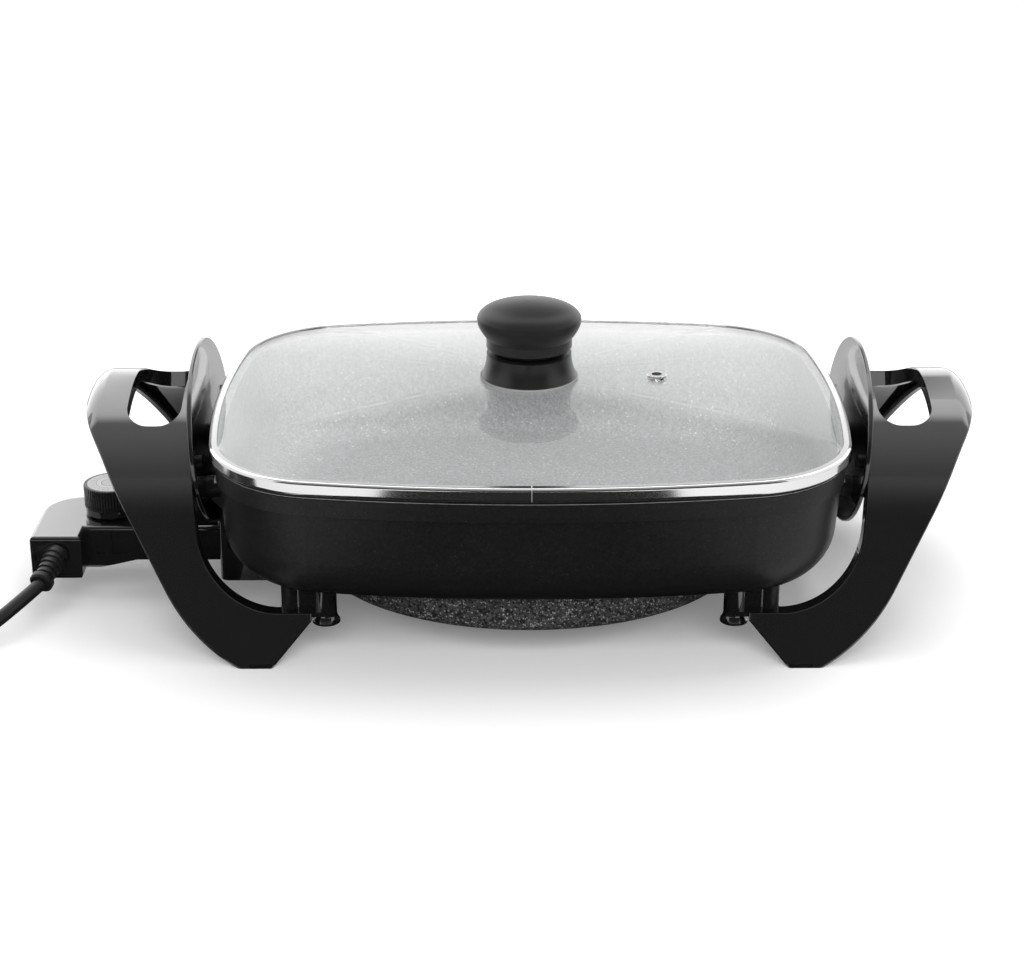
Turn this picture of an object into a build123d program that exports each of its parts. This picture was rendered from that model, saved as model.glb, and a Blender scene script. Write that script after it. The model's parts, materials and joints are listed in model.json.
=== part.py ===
from build123d import *
import math
import os

os.makedirs("parts", exist_ok=True)

# An electric skillet: a cast pan on two arch handles that are also its feet, a lift-off glass lid,
# and a pull-off control probe with a dial and a mains cord. Millimetres, +Z up, front towards -Y.
# The origin is on the table, under the middle of the skillet and its probe.

# ---------------------------------------------------------------- driving dimensions
FIT_GAP = 0.3  # between pieces that part or turn
SCREW_GAP = 0.05  # round a screw or pin in its hole

# rounded outline shared by the lid and the pan, made of eight tangent arcs
LID_HALF_WIDTH = 185.6
LID_HALF_DEPTH = 149.3
CORNER_RADIUS = 69.0
SIDE_BOW = 4.3  # how far the bowed ends stand out past the corner arcs
FRONT_BOW = 9.4  # the same for the front and back

# pan
PAN_BASE_Z = 44.5
PAN_RIM_Z = 112.8
PAN_STEP_Z = 102.3
PAN_RIM_INSET = 3.0
PAN_RIM_EDGE = 0.6
PAN_STEP_PROUD = 0.9
PAN_DRAFT = 4.0
PAN_WALL = 4.6
PAN_FLOOR = 5.5
PAN_BASE_RADIUS = 30.0
SEAT_INSET = 3.8
SEAT_RISE = 2.0

# heater plate, element and terminals
HEATER_HALF_LENGTH = 130.0
HEATER_HALF_WIDTH = 113.0
HEATER_BASE_Z = 19.5
HEATER_WALL = 3.0
HEATER_EDGE_RADIUS = 8.0
ELEMENT_DIAMETER = 7.0
ELEMENT_Z = 34.0
ELEMENT_BEND = 20.0
ELEMENT_LEAD = 33.0
SADDLE_WIDTH = 6.0
SADDLE_SPACING = 110.0
PIN_DIAMETER = 6.0
PIN_SPACING = 24.0
PIN_LENGTH = 30.0
BUSH_DIAMETER = 12.0
BUSH_FLANGE = 3.0
SENSOR_DIAMETER = 6.0
SENSOR_REACH = 50.0
SENSOR_BOSS_WIDTH = 12.0

# handles: an arch across the pan's end, cut to an S-shaped outline seen from the front
ARCH_RADIUS = 90.0
ARCH_CREST_Z = 135.0
LEG_SPLAY = 22.7
HANDLE_SKIN = 3.0
HANDLE_LIP = 2.6
HANDLE_LIP_DEPTH = 8.0
HANDLE_REACH = 74.3  # grip's outer side past the lid's end
GRIP_WIDTH = 27.0
GRIP_ROLL = 11.0  # radius of the grip's outer top edge
GRIP_CORNER_Z = 126.5
SHOULDER_X = 56.4
SHOULDER_Z = 103.0
KNEE_X = 21.5
KNEE_Z = 40.0
FOOT_OUTER_X = -19.1
FOOT_INNER_X = -39.6
TAB_END_X = -61.6
TAB_TOP_Z = 28.9
TAB_END_Z = 24.5
CROOK_RADIUS = 47.5
CROOK_X = -43.6
FINGER_HOLE_DEPTH = 96.0
FINGER_HOLE_RADIUS = 13.0
INNER_RAIL = 6.0
HANDLE_EDGE = 1.0  # rounding along the arch's outer edges

# heat guards
GUARD_WIDTH = 150.0
GUARD_HEIGHT = 104.0
GUARD_THICKNESS = 3.0
GUARD_LEAN = 5.6
GUARD_CENTRE_Z = 101.5
LUG_Y = 45.0
LUG_Z = 82.0
LUG_DIAMETER = 13.0
LUG_LENGTH = 13.5
GUARD_SCREW_ANGLE = 46.0

# feet fasteners
BOSS_DIAMETER = 12.4
BOSS_FLARE = 16.0
BOSS_BASE_Z = 20.0
SCREW_RECESS = 14.0  # from a boss's lower end up to the screw head's seat
BOSS_X = 4.2  # from the centre of the pan's corner arc
BOSS_INSET = 9.2  # from a leg's outer face at its tab
POST_DIAMETER = 10.4
POST_X = 24.4
POST_INSET = 10.2
SCREW_DIAMETER = 4.0
SCREW_HEAD_DIAMETER = 8.0
SCREW_HEAD = 3.0

# terminal shroud
SHROUD_HALF_WIDTH = 41.0
SHROUD_BASE_Z = 20.5
SHROUD_WALL = 2.6
SHROUD_TOP_Z = 72.0

# lid
BAND_BASE_Z = 115.1
BAND_HEIGHT = 8.1
BAND_SHEET = 0.8
BAND_LIP = 4.8
BAND_ROLL = 1.9
GLASS = 4.0
DOME_RISE = 12.4
DOME_POWER = 2.2
VENT_X = 76.0
VENT_Y = 4.0
VENT_FLANGE = 12.0
VENT_HOLE = 6.0
VENT_BARREL = 8.0

# lid knob
SEAL_DIAMETER = 58.0
SEAL_THICKNESS = 1.0
COLLAR_BASE_DIAMETER = 56.6
COLLAR_TOP_DIAMETER = 50.0
COLLAR_HEIGHT = 14.0
NECK_DIAMETER = 41.0
NECK_HEIGHT = 2.6
KNOB_RING_DIAMETER = 50.4
KNOB_RING_HEIGHT = 7.6
KNOB_RING_CHAMFER = 1.6
KNOB_DIAMETER = 60.6
KNOB_FLARE_HEIGHT = 10.6
KNOB_CROWN = 10.0
KNOB_FLARE_IN = 1.5  # the flare's steeper upper part reaches out this far
KNOB_FLARE_BEND = 6.0
KNOB_WALL = 3.4
KNOB_SCREW_DIAMETER = 5.0
KNOB_SCREW_LENGTH = 26.0
KNOB_HEAD_DIAMETER = 10.0
KNOB_HEAD = 3.2
WASHER_DIAMETER = 18.0
WASHER_THICKNESS = 1.2

# control probe
PROBE_FACE_GAP = 7.0  # from the heater plate to the probe's face
PROBE_LENGTH = 158.4
PROBE_HALF_WIDTH = 24.0
PROBE_BASE_Z = 20.0
PROBE_ARCH_Z = 26.5
PROBE_ARCH_RUN = 30.0
PROBE_TOP_Z = 48.0
PROBE_NOSE_Z = 42.0  # top of the part that goes in under the pan
PROBE_NOSE = 14.0  # how far it starts outside the pan's flat base
PROBE_SLOPE = 14.0
PROBE_SPLIT_Z = 36.0
PROBE_WALL = 2.4
ARM_WIDTH = 30.0
ARM_END_Y = 40.0
ARM_CORNER = 22.0
ARM_CROOK = 11.5
ARM_END_RADIUS = 4.0
PROBE_TOP_EDGE = 2.2
PROBE_LOW_EDGE = 4.6
PROBE_RECESS = 1.2
DIAL_INSET = 42.8  # from the probe's far end to the dial's axis
DIAL_DIAMETER = 33.0
DIAL_TOP_Z = 67.0
DIAL_BASE_Z = 53.6
DIAL_COLLAR_DIAMETER = 32.2
DIAL_FACE_DIAMETER = 29.6
DIAL_FACE = 0.8
SHAFT_DIAMETER = 6.0
CONTACT_WALL = 1.0

# cord
CORD_DIAMETER = 8.0
RELIEF_BASE_DIAMETER = 15.0
RELIEF_TIP_DIAMETER = 10.4
RELIEF_COLLAR_DIAMETER = 14.0
RELIEF_COLLAR_LENGTH = 5.0
COIL_MEAN_RADIUS = 44.0
COIL_X = -365.3
COIL_Y = -64.0
PLUG_WIDTH = 50.0
PLUG_LENGTH = 46.0
PLUG_THICKNESS = 21.0
PLUG_NOSE = 14.0
PLUG_TURN = 64.0

# ---------------------------------------------------------------- derived places
handle_end = LID_HALF_WIDTH + HANDLE_REACH
probe_face = HEATER_HALF_LENGTH + PROBE_FACE_GAP
probe_end = probe_face + PROBE_LENGTH
PAN_X = (probe_end - handle_end) / 2  # the pan's centre, measured from the origin

corner_x = LID_HALF_WIDTH - CORNER_RADIUS - SIDE_BOW
corner_y = LID_HALF_DEPTH - CORNER_RADIUS - FRONT_BOW
draft_slope = math.tan(math.radians(PAN_DRAFT))
wall_inset = PAN_RIM_INSET + PAN_STEP_PROUD
pan_base_inset = wall_inset + draft_slope * (PAN_RIM_Z - PAN_BASE_Z)
pan_floor_z = PAN_BASE_Z + PAN_FLOOR
cavity_inset = wall_inset + PAN_WALL
cavity_base_inset = cavity_inset + draft_slope * (PAN_RIM_Z - pan_floor_z)

arch_centre_z = ARCH_CREST_Z - ARCH_RADIUS
lean = math.radians(GUARD_LEAN)
crook_x = LID_HALF_WIDTH + CROOK_X
crook_z = TAB_TOP_Z + CROOK_RADIUS
rail_x = crook_x + CROOK_RADIUS * math.cos(lean)  # where the inner edge turns straight
rail_z = crook_z - CROOK_RADIUS * math.sin(lean)
grip_inner_x = handle_end - GRIP_WIDTH
boss_x = corner_x + BOSS_X
post_x = corner_x + POST_X
splay = math.radians(LEG_SPLAY)
leg_y = (arch_centre_z - TAB_TOP_Z) * math.tan(splay) + ARCH_RADIUS / math.cos(splay)
boss_y = leg_y - BOSS_INSET
post_y = leg_y - POST_INSET

band_top_z = BAND_BASE_Z + BAND_HEIGHT
glass_top_z = band_top_z - BAND_SHEET
glass_edge_z = glass_top_z - GLASS
glass_inset = BAND_SHEET + FIT_GAP / 2
crown_z = glass_top_z + DOME_RISE  # top of the dome
seal_top_z = crown_z + SEAL_THICKNESS
collar_top_z = seal_top_z + COLLAR_HEIGHT
knob_base_z = collar_top_z + NECK_HEIGHT
knob_edge_z = knob_base_z + KNOB_RING_HEIGHT + KNOB_FLARE_HEIGHT
knob_top_z = knob_edge_z + KNOB_CROWN
dial_x = DIAL_INSET - probe_end
arm_x = ARM_WIDTH / 2 - probe_end
nose_x = pan_base_inset + PAN_BASE_RADIUS - LID_HALF_WIDTH - PROBE_NOSE
exit_z = PROBE_SPLIT_Z

# The cord's route, from the end of the strain relief to the coil, measured from the origin.
LEAD_ROUTE = [
    (-268.3, -62.0, 28.0),
    (-277.6, -75.0, 22.8),
    (-293.8, -91.0, 13.5),
    (-314.3, -105.0, 5.8),
    (-332.3, -111.0, 4.2),
    (-349.8, -112.0, 4.0),
]
TAIL_ROUTE = [
    (-397.8, -24.3, 12.0),
    (-391.6, -15.3, 11.6),
    (-386.8, -5.2, 10.2),
]


# ---------------------------------------------------------------- helpers
def level(z):
    """Horizontal plane at height z, centred on the pan."""
    return Plane(origin=(PAN_X, 0, z), x_dir=(1, 0, 0), z_dir=(0, 0, 1))


def across(x):
    """Upright plane across the skillet at x from the pan's centre: local x is +Y, local y is +Z."""
    return Plane(origin=(PAN_X + x, 0, 0), x_dir=(0, 1, 0), z_dir=(1, 0, 0))


def along(y):
    """Upright plane along the skillet: local x is +X from the pan's centre, local y is +Z."""
    return Plane(origin=(PAN_X, y, 0), x_dir=(1, 0, 0), z_dir=(0, -1, 0))


def on_circle(centre, radius, angle):
    """Point on a circle, with the angle in degrees."""
    turn = math.radians(angle)
    return (centre[0] + radius * math.cos(turn), centre[1] + radius * math.sin(turn))


def oval(inset):
    """Face of the shared rounded outline, drawn this far inside the lid's edge."""
    front_throw = (corner_x**2 + corner_y**2 - (corner_y + FRONT_BOW) ** 2) / (2 * FRONT_BOW)
    side_throw = (corner_x**2 + corner_y**2 - (corner_x + SIDE_BOW) ** 2) / (2 * SIDE_BOW)
    half_width = LID_HALF_WIDTH - inset
    half_depth = LID_HALF_DEPTH - inset
    front_angle = math.degrees(math.atan2(corner_y + front_throw, corner_x))
    side_angle = math.degrees(math.atan2(corner_y, corner_x + side_throw))
    radius = CORNER_RADIUS - inset
    front_x, front_y = on_circle((corner_x, corner_y), radius, front_angle)
    mid_x, mid_y = on_circle((corner_x, corner_y), radius, (front_angle + side_angle) / 2)
    side_x, side_y = on_circle((corner_x, corner_y), radius, side_angle)
    with BuildSketch() as outline:
        with BuildLine():
            for sign_y in (1, -1):
                ends = [(sign_x * front_x, sign_y * front_y) for sign_x in (-1, 1)]
                ThreePointArc(ends[0], (0, sign_y * half_depth), ends[1])
            for sign_x in (1, -1):
                ends = [(sign_x * side_x, sign_y * side_y) for sign_y in (-1, 1)]
                ThreePointArc(ends[0], (sign_x * half_width, 0), ends[1])
                for sign_y in (1, -1):
                    ThreePointArc(
                        (sign_x * front_x, sign_y * front_y),
                        (sign_x * mid_x, sign_y * mid_y),
                        (sign_x * side_x, sign_y * side_y),
                    )
        make_face()
    return outline.sketch


def guard_face_x(z):
    """Outer face of a heat guard, which is also the handle's inner edge, at height z."""
    return rail_x + (z - rail_z) * math.tan(lean)


def guard_plane(offset):
    """Plane of the right heat guard: local x is +Y, local y climbs the leaning plate."""
    centre = (PAN_X + guard_face_x(GUARD_CENTRE_Z), 0, GUARD_CENTRE_Z)
    return Plane(origin=centre, x_dir=(0, 1, 0), z_dir=(math.cos(lean), 0, -math.sin(lean))).offset(offset)


def guard_local(y, z):
    """A place on the guard's plane, from its y and its height."""
    return (y, (z - GUARD_CENTRE_Z) / math.cos(lean))


def save(piece, name):
    """Name a finished piece and write it."""
    piece.part.label = name
    export_step(piece.part, f"parts/{name}.step")


# ---------------------------------------------------------------- pan
with BuildPart() as pan_cavity:
    with BuildSketch(level(pan_floor_z)):
        add(oval(cavity_base_inset))
    extrude(amount=PAN_RIM_Z + 2 * SEAT_RISE - pan_floor_z, taper=-PAN_DRAFT)
    fillet(pan_cavity.edges().group_by(Axis.Z)[0], PAN_BASE_RADIUS - PAN_WALL)

lug_points = [guard_local(side * LUG_Y, LUG_Z) for side in (1, -1)]

with BuildPart() as pan_lugs:
    with BuildSketch(guard_plane(-GUARD_THICKNESS)):
        with Locations(*lug_points):
            Circle(LUG_DIAMETER / 2)
    extrude(amount=-LUG_LENGTH)
    for side in (1, -1):
        with BuildSketch(along(side * LUG_Y)):
            with BuildLine():
                Polyline(
                    (guard_face_x(LUG_Z) - GUARD_THICKNESS - LUG_LENGTH, LUG_Z + LUG_DIAMETER / 2),
                    (guard_face_x(LUG_Z) - GUARD_THICKNESS - 2, LUG_Z + LUG_DIAMETER / 2),
                    (guard_face_x(LUG_Z) - GUARD_THICKNESS - 2, LUG_Z - LUG_DIAMETER / 2),
                    (guard_face_x(LUG_Z) - GUARD_THICKNESS - LUG_LENGTH, LUG_Z - 1.4 * LUG_DIAMETER),
                    close=True,
                )
            make_face()
        extrude(amount=LUG_DIAMETER / 4, both=True)

with BuildPart() as lug_holes:
    with BuildSketch(guard_plane(-GUARD_THICKNESS)):
        with Locations(*lug_points):
            Circle(SCREW_DIAMETER / 2 + SCREW_GAP)
    extrude(amount=-LUG_LENGTH * 0.6)

with BuildPart() as pan:
    with BuildSketch(level(PAN_BASE_Z)):
        add(oval(pan_base_inset))
    extrude(amount=PAN_RIM_Z - PAN_BASE_Z, taper=-PAN_DRAFT)
    fillet(pan.edges().group_by(Axis.Z)[0], PAN_BASE_RADIUS)
    with BuildSketch(level(PAN_STEP_Z)):
        add(oval(PAN_RIM_INSET))
    extrude(amount=PAN_RIM_Z - PAN_STEP_Z)
    fillet(pan.edges().group_by(Axis.Z)[-1], PAN_RIM_EDGE)
    with BuildSketch(level(PAN_RIM_Z)):
        add(oval(SEAT_INSET))
    extrude(amount=SEAT_RISE)
    # ears at both ends that carry the heat guards
    add(pan_lugs.part)
    mirror(pan_lugs.part, about=across(0))
    # posts that stand on the handles' tabs
    with BuildSketch(level(TAB_TOP_Z)):
        with GridLocations(2 * post_x, 2 * post_y, 2, 2):
            Circle(POST_DIAMETER / 2)
    extrude(amount=PAN_BASE_Z + PAN_FLOOR / 2 - TAB_TOP_Z)
    # boss for the thermostat's sensor, against the base
    with BuildSketch(level(ELEMENT_Z - SENSOR_BOSS_WIDTH / 2)):
        with Locations((-HEATER_HALF_LENGTH + HEATER_WALL + 1 + SENSOR_REACH / 2, 0)):
            Rectangle(SENSOR_REACH, SENSOR_BOSS_WIDTH)
    extrude(amount=PAN_BASE_Z + PAN_FLOOR / 2 - ELEMENT_Z + SENSOR_BOSS_WIDTH / 2)
    add(pan_cavity.part, mode=Mode.SUBTRACT)
    # sensor bore
    with BuildSketch(across(-HEATER_HALF_LENGTH)):
        with Locations((0, ELEMENT_Z)):
            Circle(SENSOR_DIAMETER / 2 + FIT_GAP)
    extrude(amount=SENSOR_REACH, mode=Mode.SUBTRACT)
    # blind holes for the handle screws
    with BuildSketch(level(PAN_BASE_Z)):
        with GridLocations(2 * boss_x, 2 * boss_y, 2, 2):
            Circle(SCREW_DIAMETER / 2 + SCREW_GAP)
    extrude(amount=PAN_FLOOR * 0.7, mode=Mode.SUBTRACT)
    # blind holes for the guard bolts
    add(lug_holes.part, mode=Mode.SUBTRACT)
    add(lug_holes.part.mirror(across(0)), mode=Mode.SUBTRACT)
save(pan, "pan")

# ---------------------------------------------------------------- heater plate and its element
pin_places = [(side * PIN_SPACING / 2, ELEMENT_Z) for side in (1, -1)]
wall_x = -HEATER_HALF_LENGTH

with BuildPart() as heater_plate:
    with BuildSketch(level(HEATER_BASE_Z)):
        Ellipse(HEATER_HALF_LENGTH, HEATER_HALF_WIDTH)
    extrude(amount=PAN_BASE_Z - HEATER_BASE_Z)
    fillet(heater_plate.edges().group_by(Axis.Z)[0], HEATER_EDGE_RADIUS)
    with BuildSketch(level(HEATER_BASE_Z + HEATER_WALL)):
        Ellipse(HEATER_HALF_LENGTH - HEATER_WALL, HEATER_HALF_WIDTH - HEATER_WALL)
    extrude(amount=PAN_BASE_Z - HEATER_BASE_Z, mode=Mode.SUBTRACT)
    # saddles that carry the element
    with BuildSketch(level(HEATER_BASE_Z + HEATER_WALL / 2)):
        with GridLocations(SADDLE_SPACING, 0, 2, 1):
            Rectangle(SADDLE_WIDTH, 1.5 * HEATER_HALF_WIDTH)
    extrude(amount=ELEMENT_Z - ELEMENT_DIAMETER / 2 - HEATER_BASE_Z - HEATER_WALL / 2)
    # ways through the wall for the bushes and the sensor
    with BuildSketch(across(wall_x - HEATER_WALL)):
        with Locations(*pin_places):
            Circle(BUSH_DIAMETER / 2 - BUSH_FLANGE / 2)
        with Locations((0, ELEMENT_Z)):
            Circle(SENSOR_DIAMETER / 2 + 1)
    extrude(amount=3 * HEATER_WALL, mode=Mode.SUBTRACT)
save(heater_plate, "heater_plate")

pin_inner_x = wall_x + 3 * HEATER_WALL
loop_y = 0.62 * HEATER_HALF_WIDTH
loop_x = 0.48 * HEATER_HALF_LENGTH
with BuildPart() as heating_element:
    with BuildLine(level(ELEMENT_Z)) as element_path:
        FilletPolyline(
            (pin_inner_x, PIN_SPACING / 2),
            (pin_inner_x + ELEMENT_LEAD, PIN_SPACING / 2),
            (-loop_x, loop_y),
            (loop_x, loop_y),
            (1.5 * loop_x, 0),
            (loop_x, -loop_y),
            (-loop_x, -loop_y),
            (pin_inner_x + ELEMENT_LEAD, -PIN_SPACING / 2),
            (pin_inner_x, -PIN_SPACING / 2),
            radius=ELEMENT_BEND,
        )
    with BuildSketch(across(pin_inner_x)):
        with Locations(pin_places[0]):
            Circle(ELEMENT_DIAMETER / 2)
    sweep(path=element_path.wires()[0])
save(heating_element, "heating_element")

with BuildPart() as terminal_pins:
    with BuildSketch(across(pin_inner_x)):
        with Locations(*pin_places):
            Circle(PIN_DIAMETER / 2)
    extrude(amount=-3 * HEATER_WALL - PIN_LENGTH)
    fillet(terminal_pins.edges().group_by(Axis.X)[0], PIN_DIAMETER / 4)
save(terminal_pins, "terminal_pins")

with BuildPart() as terminal_insulators:
    with BuildSketch(across(wall_x + 1.6 * HEATER_WALL)):
        with Locations(*pin_places):
            Circle(BUSH_DIAMETER / 2 - BUSH_FLANGE / 2 - SCREW_GAP)
    extrude(amount=-2 * HEATER_WALL)
    with BuildSketch(across(wall_x - 0.4 * HEATER_WALL)):
        with Locations(*pin_places):
            Circle(BUSH_DIAMETER / 2)
    extrude(amount=-BUSH_FLANGE)
    with BuildSketch(across(wall_x + 3 * HEATER_WALL)):
        with Locations(*pin_places):
            Circle(PIN_DIAMETER / 2 + SCREW_GAP)
    extrude(amount=-6 * HEATER_WALL, mode=Mode.SUBTRACT)
save(terminal_insulators, "terminal_insulators")


# ---------------------------------------------------------------- handles
def under_arch(depth):
    """Face under the arch, this far inside its outer line, with legs that run on below the table."""
    radius = ARCH_RADIUS - depth
    end_y, end_z = on_circle((0, arch_centre_z), radius, LEG_SPLAY)
    below = ARCH_RADIUS / 4
    foot_y = end_y + (end_z + below) * math.tan(splay)
    with BuildSketch() as area:
        with BuildLine():
            ThreePointArc((-end_y, end_z), (0, arch_centre_z + radius), (end_y, end_z))
            Polyline((end_y, end_z), (foot_y, -below), (-foot_y, -below), (-end_y, end_z))
        make_face()
    return area.sketch


def s_outline(inset):
    """The handle's outline seen from the front, drawn in by an inset; x is from the pan's centre."""
    end = LID_HALF_WIDTH
    knee = (end + KNEE_X, KNEE_Z)
    shoulder = (end + SHOULDER_X, SHOULDER_Z)
    rise = (shoulder[0] - knee[0], shoulder[1] - knee[1])
    top_z = ARCH_CREST_Z + 2
    with BuildSketch() as outline:
        with BuildLine():
            TangentArc(knee, (end + FOOT_OUTER_X, 0), tangent=(-rise[0], -rise[1]))
            Line(knee, shoulder)
            TangentArc(shoulder, (handle_end, GRIP_CORNER_Z), tangent=rise)
            Polyline(
                (handle_end, GRIP_CORNER_Z),
                (handle_end, top_z),
                (guard_face_x(top_z), top_z),
                (rail_x, rail_z),
            )
            ThreePointArc(
                (rail_x, rail_z),
                on_circle((crook_x, crook_z), CROOK_RADIUS, -45 - GUARD_LEAN / 2),
                (crook_x, TAB_TOP_Z),
            )
            Polyline(
                (crook_x, TAB_TOP_Z),
                (end + TAB_END_X, TAB_TOP_Z),
                (end + TAB_END_X, TAB_END_Z),
                (end + FOOT_INNER_X, 0),
                (end + FOOT_OUTER_X, 0),
            )
        make_face()
        if inset:
            offset(amount=-inset, kind=Kind.INTERSECTION)
    return outline.sketch


far_y = 2 * ARCH_RADIUS
hole_inner_x = guard_face_x(ARCH_CREST_Z) + INNER_RAIL
hole_x = (hole_inner_x + grip_inner_x) / 2
hole_width = grip_inner_x - hole_inner_x


def arch_body(depth, end_x, roll):
    """All that lies under the arch, this far inside its outer line, with the grip's end rolled over."""
    radius = ARCH_RADIUS - depth
    with BuildPart() as body:
        with BuildSketch(across(0)):
            add(under_arch(depth))
        extrude(amount=end_x - roll)
        with BuildSketch(along(0)):
            with BuildLine():
                Polyline(
                    (end_x - roll, arch_centre_z + radius),
                    (0, arch_centre_z + radius),
                    (0, arch_centre_z),
                    (end_x, arch_centre_z),
                    (end_x, arch_centre_z + radius - roll),
                )
                roll_end = (end_x - roll, arch_centre_z + radius)
                RadiusArc((end_x, arch_centre_z + radius - roll), roll_end, -roll)
            make_face()
        revolve(axis=Axis((PAN_X, 0, arch_centre_z), (1, 0, 0)))
    return body.part


def on_outer_face(edge):
    """Whether an edge bounds the arch's outer face, and isn't a seam that runs across it."""
    for share in (0.1, 0.5, 0.9):
        place = edge.position_at(share)
        rise = place.Z - arch_centre_z
        if math.atan2(rise, abs(place.Y)) > splay:
            reach = math.hypot(place.Y, rise)
        else:
            reach = abs(place.Y) * math.cos(splay) + rise * math.sin(splay)
        if abs(reach - ARCH_RADIUS) > FIT_GAP / 10:
            return False
    return edge.geom_type != GeomType.CIRCLE and abs(edge.tangent_at(0.5).X) < 0.999


with BuildPart() as handle_blank:
    add(arch_body(0, handle_end, GRIP_ROLL))
    with BuildSketch(along(0)):
        add(s_outline(0))
    extrude(amount=far_y, both=True, mode=Mode.INTERSECT)
    fillet([edge for edge in handle_blank.edges() if on_outer_face(edge)], HANDLE_EDGE)
    with BuildSketch(across(0)):
        add(under_arch(HANDLE_LIP_DEPTH))
    extrude(amount=handle_end + HANDLE_LIP_DEPTH, mode=Mode.SUBTRACT)

with BuildPart() as handle_pocket:
    add(arch_body(HANDLE_SKIN, handle_end - HANDLE_LIP, GRIP_ROLL - HANDLE_LIP))
    with BuildSketch(along(0)):
        add(s_outline(HANDLE_LIP))
    extrude(amount=far_y, both=True, mode=Mode.INTERSECT)

with BuildPart() as finger_wall:
    with BuildSketch(across(0)):
        add(under_arch(0))
        add(under_arch(HANDLE_LIP_DEPTH), mode=Mode.SUBTRACT)
    extrude(amount=handle_end + HANDLE_LIP_DEPTH)
    with BuildSketch(level(arch_centre_z)):
        with Locations((hole_x, 0)):
            RectangleRounded(
                hole_width + 2 * HANDLE_LIP,
                FINGER_HOLE_DEPTH + 2 * HANDLE_LIP,
                FINGER_HOLE_RADIUS + HANDLE_LIP,
            )
    extrude(amount=ARCH_RADIUS + 5, mode=Mode.INTERSECT)

guard_screw_radius = ARCH_RADIUS - HANDLE_SKIN - 2.6
guard_screw_places = [
    guard_local(*on_circle((0, arch_centre_z), guard_screw_radius, 90 + side * GUARD_SCREW_ANGLE))
    for side in (1, -1)
]
shelf_inner_y = post_y - POST_DIAMETER / 2
shelf_outer_y = leg_y - HANDLE_SKIN / 2
web_end_x = post_x - POST_DIAMETER / 2 - FIT_GAP
head_z = BOSS_BASE_Z + SCREW_RECESS

with BuildPart() as handle_right:
    add(handle_blank.part)
    add(handle_pocket.part, mode=Mode.SUBTRACT)
    add(finger_wall.part)
    with BuildSketch(level(arch_centre_z)):
        with Locations((hole_x, 0)):
            RectangleRounded(hole_width, FINGER_HOLE_DEPTH, FINGER_HOLE_RADIUS)
    extrude(amount=ARCH_RADIUS + 5, mode=Mode.SUBTRACT)
    # bosses for the guard's screws, on the inner edge
    with BuildSketch(guard_plane(0)):
        with Locations(*guard_screw_places):
            Circle(SCREW_DIAMETER)
    extrude(amount=12)
    with BuildSketch(guard_plane(0)):
        with Locations(*guard_screw_places):
            Circle(SCREW_DIAMETER / 2 + SCREW_GAP)
    extrude(amount=9, mode=Mode.SUBTRACT)
    # shelves behind the tabs, with a web and a flared boss at their ends
    for side in (1, -1):
        with BuildSketch(level(TAB_TOP_Z)):
            with Locations(((boss_x + crook_x) / 2, side * (shelf_inner_y + shelf_outer_y) / 2)):
                Rectangle(crook_x - boss_x, shelf_outer_y - shelf_inner_y)
        extrude(amount=-HANDLE_SKIN)
        with BuildSketch(level(TAB_TOP_Z - HANDLE_SKIN)):
            with Locations(((boss_x + web_end_x) / 2, side * boss_y)):
                Rectangle(web_end_x - boss_x, 2 * HANDLE_SKIN)
        extrude(amount=PAN_BASE_Z - FIT_GAP - TAB_TOP_Z + HANDLE_SKIN)
        with BuildSketch(along(side * boss_y)):
            with BuildLine():
                Polyline(
                    (boss_x, PAN_BASE_Z),
                    (boss_x + BOSS_DIAMETER / 2, PAN_BASE_Z),
                    (boss_x + BOSS_DIAMETER / 2, BOSS_BASE_Z + 7),
                )
                ThreePointArc(
                    (boss_x + BOSS_DIAMETER / 2, BOSS_BASE_Z + 7),
                    (boss_x + BOSS_DIAMETER / 2 + 0.5, BOSS_BASE_Z + 3.5),
                    (boss_x + BOSS_FLARE / 2, BOSS_BASE_Z + 1.2),
                )
                Polyline(
                    (boss_x + BOSS_FLARE / 2, BOSS_BASE_Z + 1.2),
                    (boss_x + BOSS_FLARE / 2, BOSS_BASE_Z),
                    (boss_x, BOSS_BASE_Z),
                    (boss_x, PAN_BASE_Z),
                )
            make_face()
        revolve(axis=Axis((PAN_X + boss_x, side * boss_y, 0), (0, 0, 1)))
    with BuildSketch(level(BOSS_BASE_Z)):
        with Locations((boss_x, boss_y), (boss_x, -boss_y)):
            Circle(SCREW_DIAMETER / 2 + SCREW_GAP)
    extrude(amount=PAN_BASE_Z, mode=Mode.SUBTRACT)
    with BuildSketch(level(BOSS_BASE_Z)):
        with Locations((boss_x, boss_y), (boss_x, -boss_y)):
            Circle(SCREW_HEAD_DIAMETER / 2 + FIT_GAP)
    extrude(amount=head_z - BOSS_BASE_Z, mode=Mode.SUBTRACT)
save(handle_right, "handle_right")

with BuildPart() as handle_left:
    mirror(handle_right.part, about=across(0))
save(handle_left, "handle_left")

with BuildPart() as handle_screws:
    with BuildSketch(level(head_z)):
        with GridLocations(2 * boss_x, 2 * boss_y, 2, 2):
            Circle(SCREW_HEAD_DIAMETER / 2)
    extrude(amount=-SCREW_HEAD)
    with BuildSketch(level(head_z)):
        with GridLocations(2 * boss_x, 2 * boss_y, 2, 2):
            Circle(SCREW_DIAMETER / 2)
    extrude(amount=PAN_BASE_Z + PAN_FLOOR * 0.7 - head_z)
save(handle_screws, "handle_screws")

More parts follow.
